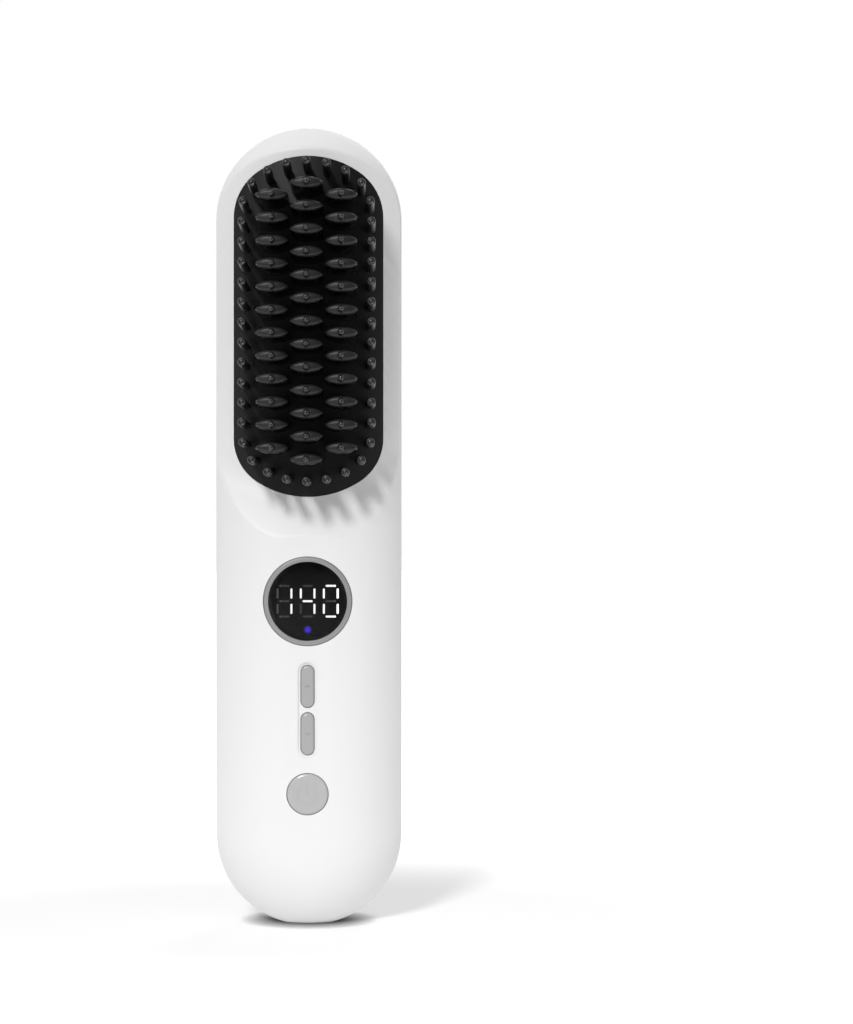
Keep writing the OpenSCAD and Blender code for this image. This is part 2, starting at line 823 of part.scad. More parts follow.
module power_button() color("darkgray") upright() translate([0, power_y, 0]) {
    translate([0, 0, flange_level])
        cylinder(d = power_d, h = button_top - flange_level - button_bevel);
    translate([0, 0, button_top - button_bevel])
        cylinder(d1 = power_d, d2 = power_d - 2 * button_bevel, h = button_bevel);
    translate([0, 0, flange_level]) cylinder(d = power_d + 1.6, h = flange_t);
    translate([0, 0, plunger_level + plunger_h])
        cylinder(d = stem_d, h = flange_level + 0.1 - plunger_level - plunger_h);
}

module plunger(y) color("ivory") upright() translate([0, y, plunger_level])
    cylinder(d = plunger_d, h = plunger_h);
module up_plunger() plunger(up_y);
module down_plunger() plunger(down_y);
module power_plunger() plunger(power_y);

module switch_bodies() color("dimgray") upright() for (y = [up_y, down_y, power_y]) difference() {
    translate([-switch_w / 2, y - switch_w / 2, board_level]) cube([switch_w, switch_w, switch_h]);
    translate([0, y, plunger_level - button_travel - 0.05])
        cylinder(d = plunger_d + 0.2, h = far);
}

// ---- board ----

module control_board() color("green") upright() difference() {
    translate([-board_w / 2, board_y, board_back]) cube([board_w, board_l, board_t]);
    for (p = board_screw_at) translate([p[0], p[1], 0])
        cylinder(d = small_screw_d + 0.3, h = far);
}

// Controller, heater switch, charger and coil: x, y, width, length, height
chips = [[-8, up_y - 5.6, 5, 5, 1], [8, power_y + 5.4, 5, 6, 1.2],
         [-8, power_y + 3.4, 4, 4, 0.9], [8, up_y - 2.6, 5, 5, 1.6]];
module board_chips() color("#222222") upright() for (c = chips)
    translate([c[0] - c[2] / 2, c[1] - c[3] / 2, board_level]) cube([c[2], c[3], c[4]]);

module small_screw(head, tip) {
    translate([0, 0, head]) cylinder(d = small_screw_d, h = tip - head);
    translate([0, 0, min(head, head - small_head_t)]) cylinder(d = small_head_d, h = small_head_t);
}

module board_screws() color("silver") upright() {
    for (p = board_screw_at) translate([p[0], p[1], 0]) small_screw(board_back, board_screw_tip);
    for (s = [-1, 1]) translate([s * usb_screw_at[0], usb_screw_at[1], usb_board_level])
        mirror([0, 0, 1]) small_screw(0, 4.5);
}

// ---- battery ----

module battery_cells() color("seagreen") upright() for (s = [-1, 1])
    translate([s * cell_x, cell_end, cell_level]) rotate([90, 0, 0])
        cylinder(d = cell_d, h = cell_l);

module battery_holder() color("white") upright() difference() {
    intersection() {
        back_form(wall + 0.25);
        union() {
            translate([-far, cell_y - strip_t - holder_t, -far])
                cube([2 * far, cell_l + 2 * strip_t + 2 * holder_t, far + holder_level]);
            for (y = [cell_y - strip_t - holder_t, cell_end + strip_t])
                translate([-holder_w / 2, y, -far]) cube([holder_w, holder_t, far - 1.2]);
        }
    }
    for (s = [-1, 1]) translate([s * cell_x, cell_end + strip_t, cell_level]) rotate([90, 0, 0])
        cylinder(d = cell_d + 2 * fit, h = cell_l + 2 * strip_t);
}

module nickel_strips() color("lightgray") upright() {
    translate([-cell_x - strip_w / 2, cell_y - strip_t, cell_level - strip_w / 2])
        cube([2 * cell_x + strip_w, strip_t, strip_w]);
    for (s = [-1, 1])
        translate([s * cell_x - strip_w / 2, cell_end, cell_level - strip_w / 2])
            cube([strip_w, strip_t, strip_w + 4]);
}

module battery_leads() color("red") upright() for (s = [-1, 1])
    wire([[s * cell_x, cell_end + strip_t, 5.5],
          [s * cell_x, cell_end + 3.6, 5.5],
          [s * 5.6, cell_end + 3.6, 7.6],
          [s * 5.6, cell_end + 3.6, board_back]]);

module foam_pad() color("gray") upright()
    translate([-pad_w / 2, cell_y + cell_l / 2 - pad_l / 2, cell_level + cell_d / 2 + 0.05])
        cube([pad_w, pad_l, board_back - cell_level - cell_d / 2 - 0.1]);

// ---- charging socket ----

module usb_board() color("green") upright() difference() {
    translate([-usb_board_w / 2, usb_board_y, usb_board_level - usb_board_t])
        cube([usb_board_w, usb_board_l, usb_board_t]);
    for (s = [-1, 1]) translate([s * usb_screw_at[0], usb_screw_at[1], -far])
        cylinder(d = small_screw_d + 0.3, h = 2 * far);
}

module usb_socket() color("silver") upright() translate([0, usb_recess, 0]) rotate([-90, 0, 0]) {
    difference() {
        linear_extrude(usb_l) rotate([0, 0, 90]) stadium(usb_h, usb_w);
        translate([0, 0, -1]) linear_extrude(usb_l - 0.5)
            rotate([0, 0, 90]) stadium(usb_h - 0.6, usb_w - 0.6);
    }
    translate([-3.35, -0.35, 1]) cube([6.7, 0.7, usb_l - 1.2]);
}

module charge_leads() color("black") upright() for (s = [-1, 1])
    wire([[s * 1.1, usb_board_y + usb_board_l - 0.9, usb_board_level],
          [s * 1.1, usb_board_y + usb_board_l - 0.9, 7.2],
          [s * 1.1, board_y + 6, 7.2],
          [s * 1.1, board_y + 6, board_back]]);

front_shell();
rear_shell();
back_panel();
comb_frame();
outer_pins();
heating_plate();
left_fins();
centre_fins();
right_fins();
left_fin_tips();
centre_fin_tips();
right_fin_tips();
ceramic_heater();
mica_sheet();
heater_bracket();
bracket_screws();
thermistor();
thermal_fuse();
heater_leads();
left_vent_inserts();
right_vent_inserts();
display_ring();
display_lens();
display_module();
lit_segments();
unlit_segments();
indicator_light();
control_board();
board_chips();
switch_bodies();
up_button();
down_button();
power_button();
up_plunger();
down_plunger();
power_plunger();
board_screws();
battery_cells();
battery_holder();
nickel_strips();
battery_leads();
foam_pad();
usb_board();
usb_socket();
charge_leads();
shell_screws();
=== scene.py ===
import math
import bmesh
import bpy
from mathutils import Matrix, Vector


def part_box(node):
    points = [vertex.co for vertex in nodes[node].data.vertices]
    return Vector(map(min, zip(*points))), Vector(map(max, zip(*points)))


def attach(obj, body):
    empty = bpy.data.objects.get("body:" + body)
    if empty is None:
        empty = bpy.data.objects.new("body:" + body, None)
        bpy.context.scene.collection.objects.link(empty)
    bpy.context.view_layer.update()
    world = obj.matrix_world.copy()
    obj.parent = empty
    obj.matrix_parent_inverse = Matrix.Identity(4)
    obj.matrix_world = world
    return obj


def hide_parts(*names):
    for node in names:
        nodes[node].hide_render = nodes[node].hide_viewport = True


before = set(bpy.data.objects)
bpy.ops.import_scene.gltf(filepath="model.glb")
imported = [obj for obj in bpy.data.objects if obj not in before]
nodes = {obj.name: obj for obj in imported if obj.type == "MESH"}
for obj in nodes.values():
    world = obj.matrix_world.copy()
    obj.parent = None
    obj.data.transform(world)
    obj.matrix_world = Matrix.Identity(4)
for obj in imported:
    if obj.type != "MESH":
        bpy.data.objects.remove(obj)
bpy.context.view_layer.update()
print("frame loaded,", len(nodes), "parts")

# Pieces are drawn in millimetres: x across, y up from the foot, z from the seam towards the
# comb. This stands them up and makes them metres.
standUp = Matrix.Scale(0.001, 4) @ Matrix.Rotation(math.radians(90), 4, "X")

# Node helpers: a value is a number or another node's output
def connect(tree, value, socket):
    if isinstance(value, (int, float)):
        socket.default_value = value
    else:
        tree.links.new(value, socket)


def addMath(tree, operation, first, second):
    node = tree.nodes.new("ShaderNodeMath")
    node.operation = operation
    connect(tree, first, node.inputs[0])
    connect(tree, second, node.inputs[1])
    return node.outputs[0]


def addMix(tree, factor, low, high):
    node = tree.nodes.new("ShaderNodeMix")
    tree.links.new(factor, node.inputs["Factor"])
    connect(tree, low, node.inputs["A"])
    connect(tree, high, node.inputs["B"])
    return node.outputs["Result"]


def addRange(tree, value, start, end, low, high, smooth=False):
    # a value from start to end becomes one from low to high
    node = tree.nodes.new("ShaderNodeMapRange")
    if smooth:
        node.interpolation_type = "SMOOTHSTEP"
    limits = {"From Min": start, "From Max": end, "To Min": low, "To Max": high}
    for label, number in limits.items():
        node.inputs[label].default_value = number
    tree.links.new(value, node.inputs["Value"])
    return node.outputs["Result"]


def startMaterial(name):
    material = bpy.data.materials.new(name)
    material.use_nodes = True
    tree = material.node_tree
    where = tree.nodes.new("ShaderNodeTexCoord").outputs["Object"]
    return material, tree, tree.nodes["Principled BSDF"], where


# The camera looks level at the front, with room left at the right
shot = dict(
    back=0.5041,       # from the seam
    distance=0.5000,   # from the front edge of the casing's side band
    across=0.0137,
    height=0.0981,
    seen=0.2452,       # height of the frame at that distance
    shift=0.059,
    sensor=24,
)
cameraData = bpy.data.cameras.new("camera")
cameraData.sensor_fit = "VERTICAL"
cameraData.sensor_height = shot["sensor"]
cameraData.lens = shot["sensor"] * shot["distance"] / shot["seen"]
cameraData.shift_x = shot["shift"]
cameraData.clip_start = 0.01
camera = bpy.data.objects.new("camera", cameraData)
camera.location = (shot["across"], -shot["back"], shot["height"])
camera.rotation_euler = (math.radians(90), 0, 0)
bpy.context.scene.collection.objects.link(camera)
bpy.context.scene.camera = camera


def addLamp(name, place, aim, size, power, mirrored=True):
    data = bpy.data.lights.new(name, "AREA")
    data.shape = "DISK"
    data.size = size
    data.energy = power
    lamp = bpy.data.objects.new(name, data)
    lamp.location = place
    lamp.visible_camera = False
    lamp.visible_glossy = mirrored
    lamp.rotation_euler = (Vector(aim) - Vector(place)).to_track_quat("-Z", "Y").to_euler()
    bpy.context.scene.collection.objects.link(lamp)


addLamp("keyLamp", (-0.60, -1.54, 1.22), (0, 0, 0.1), 0.42, 19.5)
addLamp("lowLeft", (-0.08, -0.16, 0.02), (0, 0, 0.04), 0.1, 0.022, mirrored=False)
addLamp("lowRight", (0.13, -0.15, 0.06), (0, 0, 0.07), 0.1, 0.034, mirrored=False)
addLamp("rightFill", (0.90, -1.20, 0.35), (0, 0, 0.08), 1.0, 0.9, mirrored=False)
addLamp("backLamp", (0.5, 1.4, 1.0), (0, 0, 0.1), 0.9, 3)


def lightWorld():
    # The world lights softly, more from above, and the camera sees it white. In reflections
    # and through glass it is white behind the object and dim on the camera's side.
    world = bpy.data.worlds.new("studio")
    bpy.context.scene.world = world
    world.use_nodes = True
    tree = world.node_tree
    tree.nodes.clear()
    rays = tree.nodes.new("ShaderNodeLightPath").outputs
    heading = tree.nodes.new("ShaderNodeSeparateXYZ")
    tree.links.new(tree.nodes.new("ShaderNodeTexCoord").outputs["Generated"], heading.inputs[0])
    room = addRange(tree, heading.outputs["Y"], -0.6, 0.3, 0.045, 1.0, smooth=True)
    above = addRange(tree, heading.outputs["Z"], 0, 1, 0.37, 0.60, smooth=True)
    strength = addMix(tree, rays["Is Glossy Ray"], above, room)
    strength = addMix(tree, rays["Is Transmission Ray"], strength, room)
    strength = addMix(tree, rays["Is Camera Ray"], strength, 1.0)
    back = tree.nodes.new("ShaderNodeBackground")
    back.inputs["Color"].default_value = (1, 1, 1, 1)
    tree.links.new(strength, back.inputs["Strength"])
    tree.links.new(back.outputs[0], tree.nodes.new("ShaderNodeOutputWorld").inputs[0])


def floorWhite():
    # Near the object the floor is lit and shaded; further out it melts into the white backdrop
    material, tree, shader, where = startMaterial("floor")
    shader.inputs["Roughness"].default_value = 0.6
    shader.inputs["Specular IOR Level"].default_value = 0.2
    shader.inputs["Emission Color"].default_value = (1, 1, 1, 1)
    rays = tree.nodes.new("ShaderNodeLightPath").outputs
    sides = tree.nodes.new("ShaderNodeSeparateXYZ")
    tree.links.new(where, sides.inputs[0])
    behind = addRange(tree, sides.outputs["Y"], -0.5, 0.3, 0.05, 1.0, smooth=True)
    mirrored = addMath(tree, "MULTIPLY", rays["Is Glossy Ray"], behind)
    seen = addMath(tree, "MAXIMUM", rays["Is Camera Ray"], mirrored)
    spread = tree.nodes.new("ShaderNodeVectorMath")
    spread.operation = "MULTIPLY"
    spread.inputs[1].default_value = (0.5, 1.0, 1.0)
    tree.links.new(where, spread.inputs[0])
    span = tree.nodes.new("ShaderNodeVectorMath")
    span.operation = "LENGTH"
    tree.links.new(spread.outputs[0], span.inputs[0])
    melt = addRange(tree, span.outputs["Value"], 0.035, 0.16, 0.115, 1.0, smooth=True)
    # painted shadow: the floor's colour and glow are darkened where the foot hides it, a painted
    # contact shadow under the foot
    footOcclusionForShade = tree.nodes.new("ShaderNodeAmbientOcclusion")  # a thin dark line under the foot
    footOcclusionForShade.inputs["Distance"].default_value = 0.005
    paintedFootShadow = addMath(tree, "POWER", footOcclusionForShade.outputs["AO"], rays["Is Camera Ray"])
    lift = addMath(tree, "MULTIPLY", addMath(tree, "MULTIPLY", melt, seen), paintedFootShadow)
    tree.links.new(lift, shader.inputs["Emission Strength"])
    clouds = tree.nodes.new("ShaderNodeTexNoise")
    clouds.inputs["Scale"].default_value = 3
    uneven = addRange(tree, clouds.outputs["Fac"], 0, 1, 0.98, 1.0)
    patch = addRange(tree, span.outputs["Value"], 0.08, 0.40, 0.98, 0.2, smooth=True)
    base = addMath(tree, "MULTIPLY", addMath(tree, "MULTIPLY", patch, uneven), paintedFootShadow)
    tree.links.new(base, shader.inputs["Base Color"])
    return material


lightWorld()
bpy.context.scene.view_settings.view_transform = "Standard"
floorMesh = bmesh.new()
bmesh.ops.create_circle(floorMesh, cap_ends=True, segments=96, radius=3)
floorData = bpy.data.meshes.new("floor")
floorMesh.to_mesh(floorData)
floorMesh.free()
floor = bpy.data.objects.new("floor", floorData)
bpy.context.scene.collection.objects.link(floor)
floor.data.materials.append(floorWhite())
print("stage set")


def startGroup(name, inputs, outputs):
    group = bpy.data.node_groups.new(name, "ShaderNodeTree")
    for label, kind, value in inputs:
        socket = group.interface.new_socket(name=label, in_out="INPUT", socket_type=kind)
        if value is not None:
            socket.default_value = value
    for label, kind in outputs:
        group.interface.new_socket(name=label, in_out="OUTPUT", socket_type=kind)
    return group, group.nodes.new("NodeGroupInput"), group.nodes.new("NodeGroupOutput")


# Moulded plastic: slow drift in tone, finer drift in gloss, and the mould's fine texture
mouldedSkin, gin, gout = startGroup(
    "mouldedSkin",
    [("Place", "NodeSocketVector", None), ("Colour", "NodeSocketColor", (0.8, 0.8, 0.8, 1)),
     ("Tone drift", "NodeSocketFloat", 0.05), ("Gloss", "NodeSocketFloat", 0.3),
     ("Gloss drift", "NodeSocketFloat", 0.05), ("Grain", "NodeSocketFloat", 1500.0)],
    [("Colour", "NodeSocketColor"), ("Roughness", "NodeSocketFloat"), ("Height", "NodeSocketFloat")])
slow = mouldedSkin.nodes.new("ShaderNodeTexNoise")
slow.inputs["Scale"].default_value = 45
slow.inputs["Detail"].default_value = 3
fine = mouldedSkin.nodes.new("ShaderNodeTexNoise")
fine.inputs["Detail"].default_value = 4
smears = mouldedSkin.nodes.new("ShaderNodeTexNoise")
smears.inputs["Scale"].default_value = 220
smears.inputs["Detail"].default_value = 5
for noise in (slow, fine, smears):
    mouldedSkin.links.new(gin.outputs["Place"], noise.inputs["Vector"])
mouldedSkin.links.new(gin.outputs["Grain"], fine.inputs["Scale"])
drift = addMath(mouldedSkin, "MULTIPLY", addMath(mouldedSkin, "SUBTRACT", slow.outputs["Fac"], 0.5),
                gin.outputs["Tone drift"])
tint = mouldedSkin.nodes.new("ShaderNodeVectorMath")
tint.operation = "SCALE"
mouldedSkin.links.new(gin.outputs["Colour"], tint.inputs[0])
mouldedSkin.links.new(addMath(mouldedSkin, "ADD", drift, 1.0), tint.inputs["Scale"])
mouldedSkin.links.new(tint.outputs[0], gout.inputs["Colour"])
mouldedSkin.links.new(
    addMath(mouldedSkin, "ADD", gin.outputs["Gloss"],
            addMath(mouldedSkin, "MULTIPLY",
                    addMath(mouldedSkin, "SUBTRACT", smears.outputs["Fac"], 0.5),
                    gin.outputs["Gloss drift"])),
    gout.inputs["Roughness"])
mouldedSkin.links.new(fine.outputs["Fac"], gout.inputs["Height"])


def plastic(name, colour, gloss, toneDrift=0.06, glossDrift=0.08, grain=1500.0, bump=0.02,
            metal=0.0, coat=0.0, shine=0.5, glow=None):
    material, tree, shader, where = startMaterial(name)
    skin = tree.nodes.new("ShaderNodeGroup")
    skin.node_tree = mouldedSkin
    tree.links.new(where, skin.inputs["Place"])
    skin.inputs["Colour"].default_value = (*colour, 1)
    skin.inputs["Tone drift"].default_value = toneDrift
    skin.inputs["Gloss"].default_value = gloss
    skin.inputs["Gloss drift"].default_value = glossDrift
    skin.inputs["Grain"].default_value = grain
    tree.links.new(skin.outputs["Colour"], shader.inputs["Base Color"])
    tree.links.new(skin.outputs["Roughness"], shader.inputs["Roughness"])
    raised = tree.nodes.new("ShaderNodeBump")
    raised.inputs["Strength"].default_value = bump
    raised.inputs["Distance"].default_value = 0.0001
    tree.links.new(skin.outputs["Height"], raised.inputs["Height"])
    tree.links.new(raised.outputs[0], shader.inputs["Normal"])
    shader.inputs["Metallic"].default_value = metal
    shader.inputs["Specular IOR Level"].default_value = shine
    shader.inputs["Coat Weight"].default_value = coat
    shader.inputs["Coat Roughness"].default_value = 0.08
    if glow:
        shader.inputs["Emission Color"].default_value = (*glow[0], 1)
        shader.inputs["Emission Strength"].default_value = glow[1]
    return material


whiteGloss = plastic("whiteGloss", (0.83, 0.83, 0.83), 0.44, toneDrift=0.012, glossDrift=0.05,
                     grain=900, bump=0.02)
combBlack = plastic("combBlack", (0.0022, 0.0022, 0.0024), 0.44, grain=4000, bump=0.12, shine=0.6)
pinBlack = plastic("pinBlack", (0.006, 0.006, 0.0064), 0.42, grain=4000, bump=0.12, shine=0.8)
finBlack = plastic("finBlack", (0.006, 0.006, 0.0064), 0.48, grain=4500, bump=0.15, shine=0.6)


def smoothSides(material, gloss):
    # the sides are smoother than the tops: roughness falls off as the surface turns away
    tree = material.node_tree
    shader = tree.nodes["Principled BSDF"]
    facing = tree.nodes.new("ShaderNodeSeparateXYZ")
    tree.links.new(tree.nodes.new("ShaderNodeTexCoord").outputs["Normal"], facing.inputs[0])
    turn = addRange(tree, facing.outputs["Y"], -0.08, -0.4, 0, 1)
    rough = shader.inputs["Roughness"].links[0].from_socket
    tree.links.new(addMix(tree, turn, gloss, rough), shader.inputs["Roughness"])


smoothSides(finBlack, 0.12)
tipBlack = plastic("tipBlack", (0.014, 0.014, 0.015), 0.34, grain=6000, bump=0.08, shine=0.8)
ringGrey = plastic("ringGrey", (0.33, 0.33, 0.335), 0.46, grain=3000, bump=0.05, metal=0.25)
ventGrey = plastic("ventGrey", (0.27, 0.27, 0.275), 0.42, grain=3000, bump=0.08)
buttonGrey = plastic("buttonGrey", (0.41, 0.41, 0.415), 0.3, glossDrift=0.06, grain=3500, bump=0.05)
# painted light: the power key's grey is a lighter copy of the up and down keys' grey, standing in for
# the brighter light where it sits
powerKeyPaintedLight = plastic("powerKeyPaintedLight", (0.47, 0.47, 0.475), 0.24, glossDrift=0.06, grain=3500, bump=0.05)
markGrey = plastic("markGrey", (0.31, 0.31, 0.315), 0.45, grain=5000, bump=0.05)
signGrey = plastic("signGrey", (0.41, 0.41, 0.415), 0.40, grain=5000, bump=0.05)
moduleBlack = plastic("moduleBlack", (0.005, 0.005, 0.006), 0.55, grain=4000, bump=0.1, shine=0.12)
digitLit = plastic("digitLit", (0.9, 0.9, 0.9), 0.5, grain=4000, bump=0.02, glow=((1, 1, 1), 2.3))
# painted light: the unlit strokes glow faintly, so that they show dimly through the smoked lens
# though they are switched off
unlitStrokesPaintedGlow = plastic("unlitStrokesPaintedGlow", (0.05, 0.05, 0.05), 0.5, grain=4000, bump=0.02,
                     glow=((1, 1, 1), 0.085))
ledBlue = plastic("ledBlue", (0.01, 0.01, 0.06), 0.4, grain=4000, bump=0.02,
                  glow=((0.07, 0.035, 1.0), 1.6))


def fadeGlow(material, middle, inner, outer, strength):
    # the lamp's light dies away towards its edge
    tree = material.node_tree
    reach = tree.nodes.new("ShaderNodeVectorMath")
    reach.operation = "DISTANCE"
    reach.inputs[1].default_value = middle
    tree.links.new(tree.nodes.new("ShaderNodeTexCoord").outputs["Object"], reach.inputs[0])
    fade = addRange(tree, reach.outputs["Value"], inner, outer, strength, 0.0, smooth=True)
    tree.links.new(fade, tree.nodes["Principled BSDF"].inputs["Emission Strength"])


socketSteel = plastic("socketSteel", (0.55, 0.55, 0.56), 0.28, grain=2500, bump=0.05, metal=1.0)


def smokedGlass():
    material, tree, shader, where = startMaterial("smokedGlass")
    noise = tree.nodes.new("ShaderNodeTexNoise")
    noise.inputs["Scale"].default_value = 260
    tree.links.new(where, noise.inputs["Vector"])
    haze = addRange(tree, noise.outputs["Fac"], 0, 1, 0.02, 0.06)
    tree.links.new(haze, shader.inputs["Roughness"])
    tone = addRange(tree, noise.outputs["Fac"], 0, 1, 0.42, 0.46)
    tree.links.new(tone, shader.inputs["Base Color"])
    shader.inputs["Transmission Weight"].default_value = 1.0
    shader.inputs["IOR"].default_value = 1.46
    return material


smokedLens = smokedGlass()
print("materials ready")

touch = 1e-4   # points nearer to each other than this are one, in millimetres


def drawPath(bm, points):
    verts = [bm.verts.new(p) for p in points]
    return [bm.edges.new(pair) for pair in zip(verts, verts[1:])]


def raiseFaces(bm, height):
    grown = bmesh.ops.extrude_face_region(bm, geom=bm.faces[:])
    raised = [g for g in grown["geom"] if isinstance(g, bmesh.types.BMVert)]
    bmesh.ops.translate(bm, verts=raised, vec=(0, 0, height))


def turned(degrees, axis):
    return Matrix.Rotation(math.radians(degrees), 3, axis)


def stadiumPrism(width, length, low, high, middle=(0, 0, 0), steps=96):
    bm = bmesh.new()
    bmesh.ops.create_circle(bm, cap_ends=True, segments=steps, radius=width / 2)
    bmesh.ops.rotate(bm, verts=bm.verts, matrix=Matrix.Rotation(math.pi / steps, 3, "Z"))
    for vert in bm.verts:
        vert.co.y += math.copysign((length - width) / 2, vert.co.y)
    raiseFaces(bm, high - low)
    bmesh.ops.translate(bm, verts=bm.verts, vec=Vector(middle) + Vector((0, 0, low)))
    bmesh.ops.recalc_face_normals(bm, faces=bm.faces)
    return bm


def rawObject(bm, name):
    mesh = bpy.data.meshes.new(name)
    bm.to_mesh(mesh)
    bm.free()
    thing = bpy.data.objects.new(name, mesh)
    bpy.context.scene.collection.objects.link(thing)
    return thing


def cutAway(bm, cutters):
    thing = rawObject(bm, "blank")
    tools = [rawObject(cutter, "cutter") for cutter in cutters]
    for tool in tools:
        cut = thing.modifiers.new("cut", "BOOLEAN")
        cut.operation = "DIFFERENCE"
        cut.solver = "EXACT"
        cut.object = tool
    graph = bpy.context.evaluated_depsgraph_get()
    done = bmesh.new()
    done.from_object(thing, graph)
    for extra in tools + [thing]:
        bpy.data.objects.remove(extra)
    return done


def finishPiece(bm, name, material, body="root", stands=None, sharp=32, place=standUp):
    bmesh.ops.recalc_face_normals(bm, faces=bm.faces)  # in millimetres, where it is reliable
    bm.transform(place)
    for face in bm.faces:
        face.smooth = True
    for edge in bm.edges:
        edge.smooth = len(edge.link_faces) == 2 and edge.calc_face_angle() < math.radians(sharp)
    mesh = bpy.data.meshes.new(name)
    bm.to_mesh(mesh)
    bm.free()
    mesh.materials.append(material)
    piece = bpy.data.objects.new(name, mesh)
    bpy.context.scene.collection.objects.link(piece)
    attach(piece, body)
    if stands:
        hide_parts(*stands)
    print("made", name, len(mesh.polygons), "faces")
    return piece


def lathe(outline, steps):
    bm = bmesh.new()
    edges = drawPath(bm, [(r, 0, z) for r, z in outline])
    bmesh.ops.spin(bm, geom=bm.verts[:] + edges, cent=(0, 0, 0), axis=(0, 0, 1), angle=math.tau,
                   steps=steps, use_merge=True)
    bmesh.ops.remove_doubles(bm, verts=bm.verts, dist=touch)
    bmesh.ops.holes_fill(bm, edges=[e for e in bm.edges if e.is_boundary])
    bmesh.ops.recalc_face_normals(bm, faces=bm.faces)
    return bm


def gather(models):
    # joins models given as (bmesh, where to put it)
    whole = bpy.data.meshes.new("gathered")
    bm = bmesh.new()
    for model, place in models:
        model = model.copy()
        bmesh.ops.translate(model, verts=model.verts, vec=place)
        model.to_mesh(whole)
        model.free()
        bm.from_mesh(whole)
    bpy.data.meshes.remove(whole)
    return bm


# The casing: two shells that meet in the seam's plane
casing = dict(
    length=190, width=44.4, footTrim=0.8, wall=1.8,
    seamChamfer=0.16,  # the fine groove along both sides and over the top
    creaseSoft=0.9,    # rounding where the side band meets the curves
    flatSteps=3, curveSteps=34, creaseSteps=4, innerSteps=7,
    endSteps=56, footSteps=30,
)
frontCurve = dict(height=15.8, flat=4.2, band=4.1)
backCurve = dict(height=14.2, flat=2.2, band=3.1)
scoop = dict(
    level=11.6, crown=38, slope=24.2, rampCrown=100, start=101.75,
    blend=1.6, crest=0.22,
    lowest=84, nearSeam=0.5,  # nothing is scooped below these
)
half = casing["width"] / 2
lowEnd = half - casing["footTrim"]
highEnd = casing["length"] - half


def softMin(a, b, reach):
    mix = max(reach - abs(a - b), 0) / reach
    return min(a, b) - mix * mix * reach / 4


def scoopHeight(x, y):
    slope = math.radians(scoop["slope"])
    crown = scoop["level"] - scoop["crown"] + math.sqrt(scoop["crown"] ** 2 - x * x)
    ramp = (scoop["level"] - math.tan(slope) * (y - scoop["start"])
            - (scoop["rampCrown"] - math.sqrt(scoop["rampCrown"] ** 2 - x * x)) / math.cos(slope))
    return -softMin(-crown, -ramp, scoop["blend"])


def curveRadius(curve):
    # of the arc from the flat middle to the side band
    across, fall = half - curve["flat"], curve["height"] - curve["band"]
    return (across ** 2 + fall ** 2) / (2 * fall)


def arcPoints(flat, top, r, angle, steps):
    # from the flat middle's edge round and down
    return [(flat + r * math.sin(angle * k / steps), top - r + r * math.cos(angle * k / steps))
            for k in range(steps + 1)]


def profile(curve):
    h, flat, band = curve["height"], curve["flat"], curve["band"]
    r = curveRadius(curve)
    soft = casing["creaseSoft"]
    stop = math.asin((half - flat) / r) - soft / r
    points = [(flat * k / casing["flatSteps"], h) for k in range(casing["flatSteps"])]
    points += arcPoints(flat, h, r, stop, casing["curveSteps"])
    last, corner, low = Vector(points[-1]), Vector((half, band)), Vector((half, band - soft))
    for k in range(casing["creaseSteps"]):  # rounds the crease
        t = (k + 1) / casing["creaseSteps"]
        points.append(tuple(last.lerp(corner, t).lerp(corner.lerp(low, t), t)))
    chamfer = casing["seamChamfer"]
    points += [(half, chamfer), (half - chamfer, 0)]
    wall = casing["wall"]
    limit = math.asin((half - wall - flat) / (r - wall))
    inside = arcPoints(flat, h - wall, r - wall, limit, casing["innerSteps"])
    inner = [(half - wall, 0), (half - wall, band - 1)] + inside[::-1] + [(0, h - wall)]
    return points + inner, len(points)


def sweepCasing(curve, stations, shape=None):
    bm = bmesh.new()
    points, outer = profile(curve)
    edges = drawPath(bm, [(x, lowEnd, z) for x, z in points])
    skinLayer = bm.verts.layers.int.new("skin")
    bm.verts.ensure_lookup_table()
    for k, vert in enumerate(bm.verts):
        vert[skinLayer] = 1 if k < outer else 0
    start = edges[:]
    current, y = edges, lowEnd
    for stop, step in stations:
        count = max(1, round((stop - y) / step))
        for k in range(count):
            grown = bmesh.ops.extrude_edge_only(bm, edges=current)["geom"]
            verts = [g for g in grown if isinstance(g, bmesh.types.BMVert)]
            bmesh.ops.translate(bm, verts=verts, vec=(0, (stop - y) / count, 0))
            current = [g for g in grown if isinstance(g, bmesh.types.BMEdge)
                       and abs(g.verts[0].co.y - g.verts[1].co.y) < 1e-6]
        y = stop
    ends = ((current, highEnd, 90, casing["endSteps"]), (start, lowEnd, -90, casing["footSteps"]))
    for ring, centre, angle, steps in ends:
        verts = list({v for e in ring for v in e.verts})
        bmesh.ops.spin(bm, geom=verts + ring, cent=(0, centre, 0), axis=(0, 0, 1),
                       angle=math.radians(angle), steps=steps, use_merge=False)
    for vert in bm.verts:
        if abs(vert.co.x) < 0.002:
            vert.co.x = 0
    bmesh.ops.mirror(bm, geom=bm.verts[:] + bm.edges[:] + bm.faces[:], axis="X", merge_dist=touch)
    bmesh.ops.remove_doubles(bm, verts=bm.verts, dist=touch)
    if shape:
        for vert in bm.verts:
            shape(vert, vert[skinLayer])
    cut = bmesh.ops.bisect_plane(bm, geom=bm.verts[:] + bm.edges[:] + bm.faces[:],
                                 plane_co=(0, 0, 0), plane_no=(0, -1, 0), clear_outer=True)
    rim = [g for g in cut["geom_cut"] if isinstance(g, bmesh.types.BMEdge)]
    bmesh.ops.holes_fill(bm, edges=rim)
    bmesh.ops.recalc_face_normals(bm, faces=bm.faces)
    return bm


def scoopOut(vert, onSkin):
    x, y, z = vert.co
    if y < scoop["lowest"] or z < scoop["nearSeam"]:
        return
    if onSkin:
        vert.co.z = softMin(z, scoopHeight(x, y), scoop["crest"])
    else:
        vert.co.z = min(z, scoopHeight(x, y) - casing["wall"])


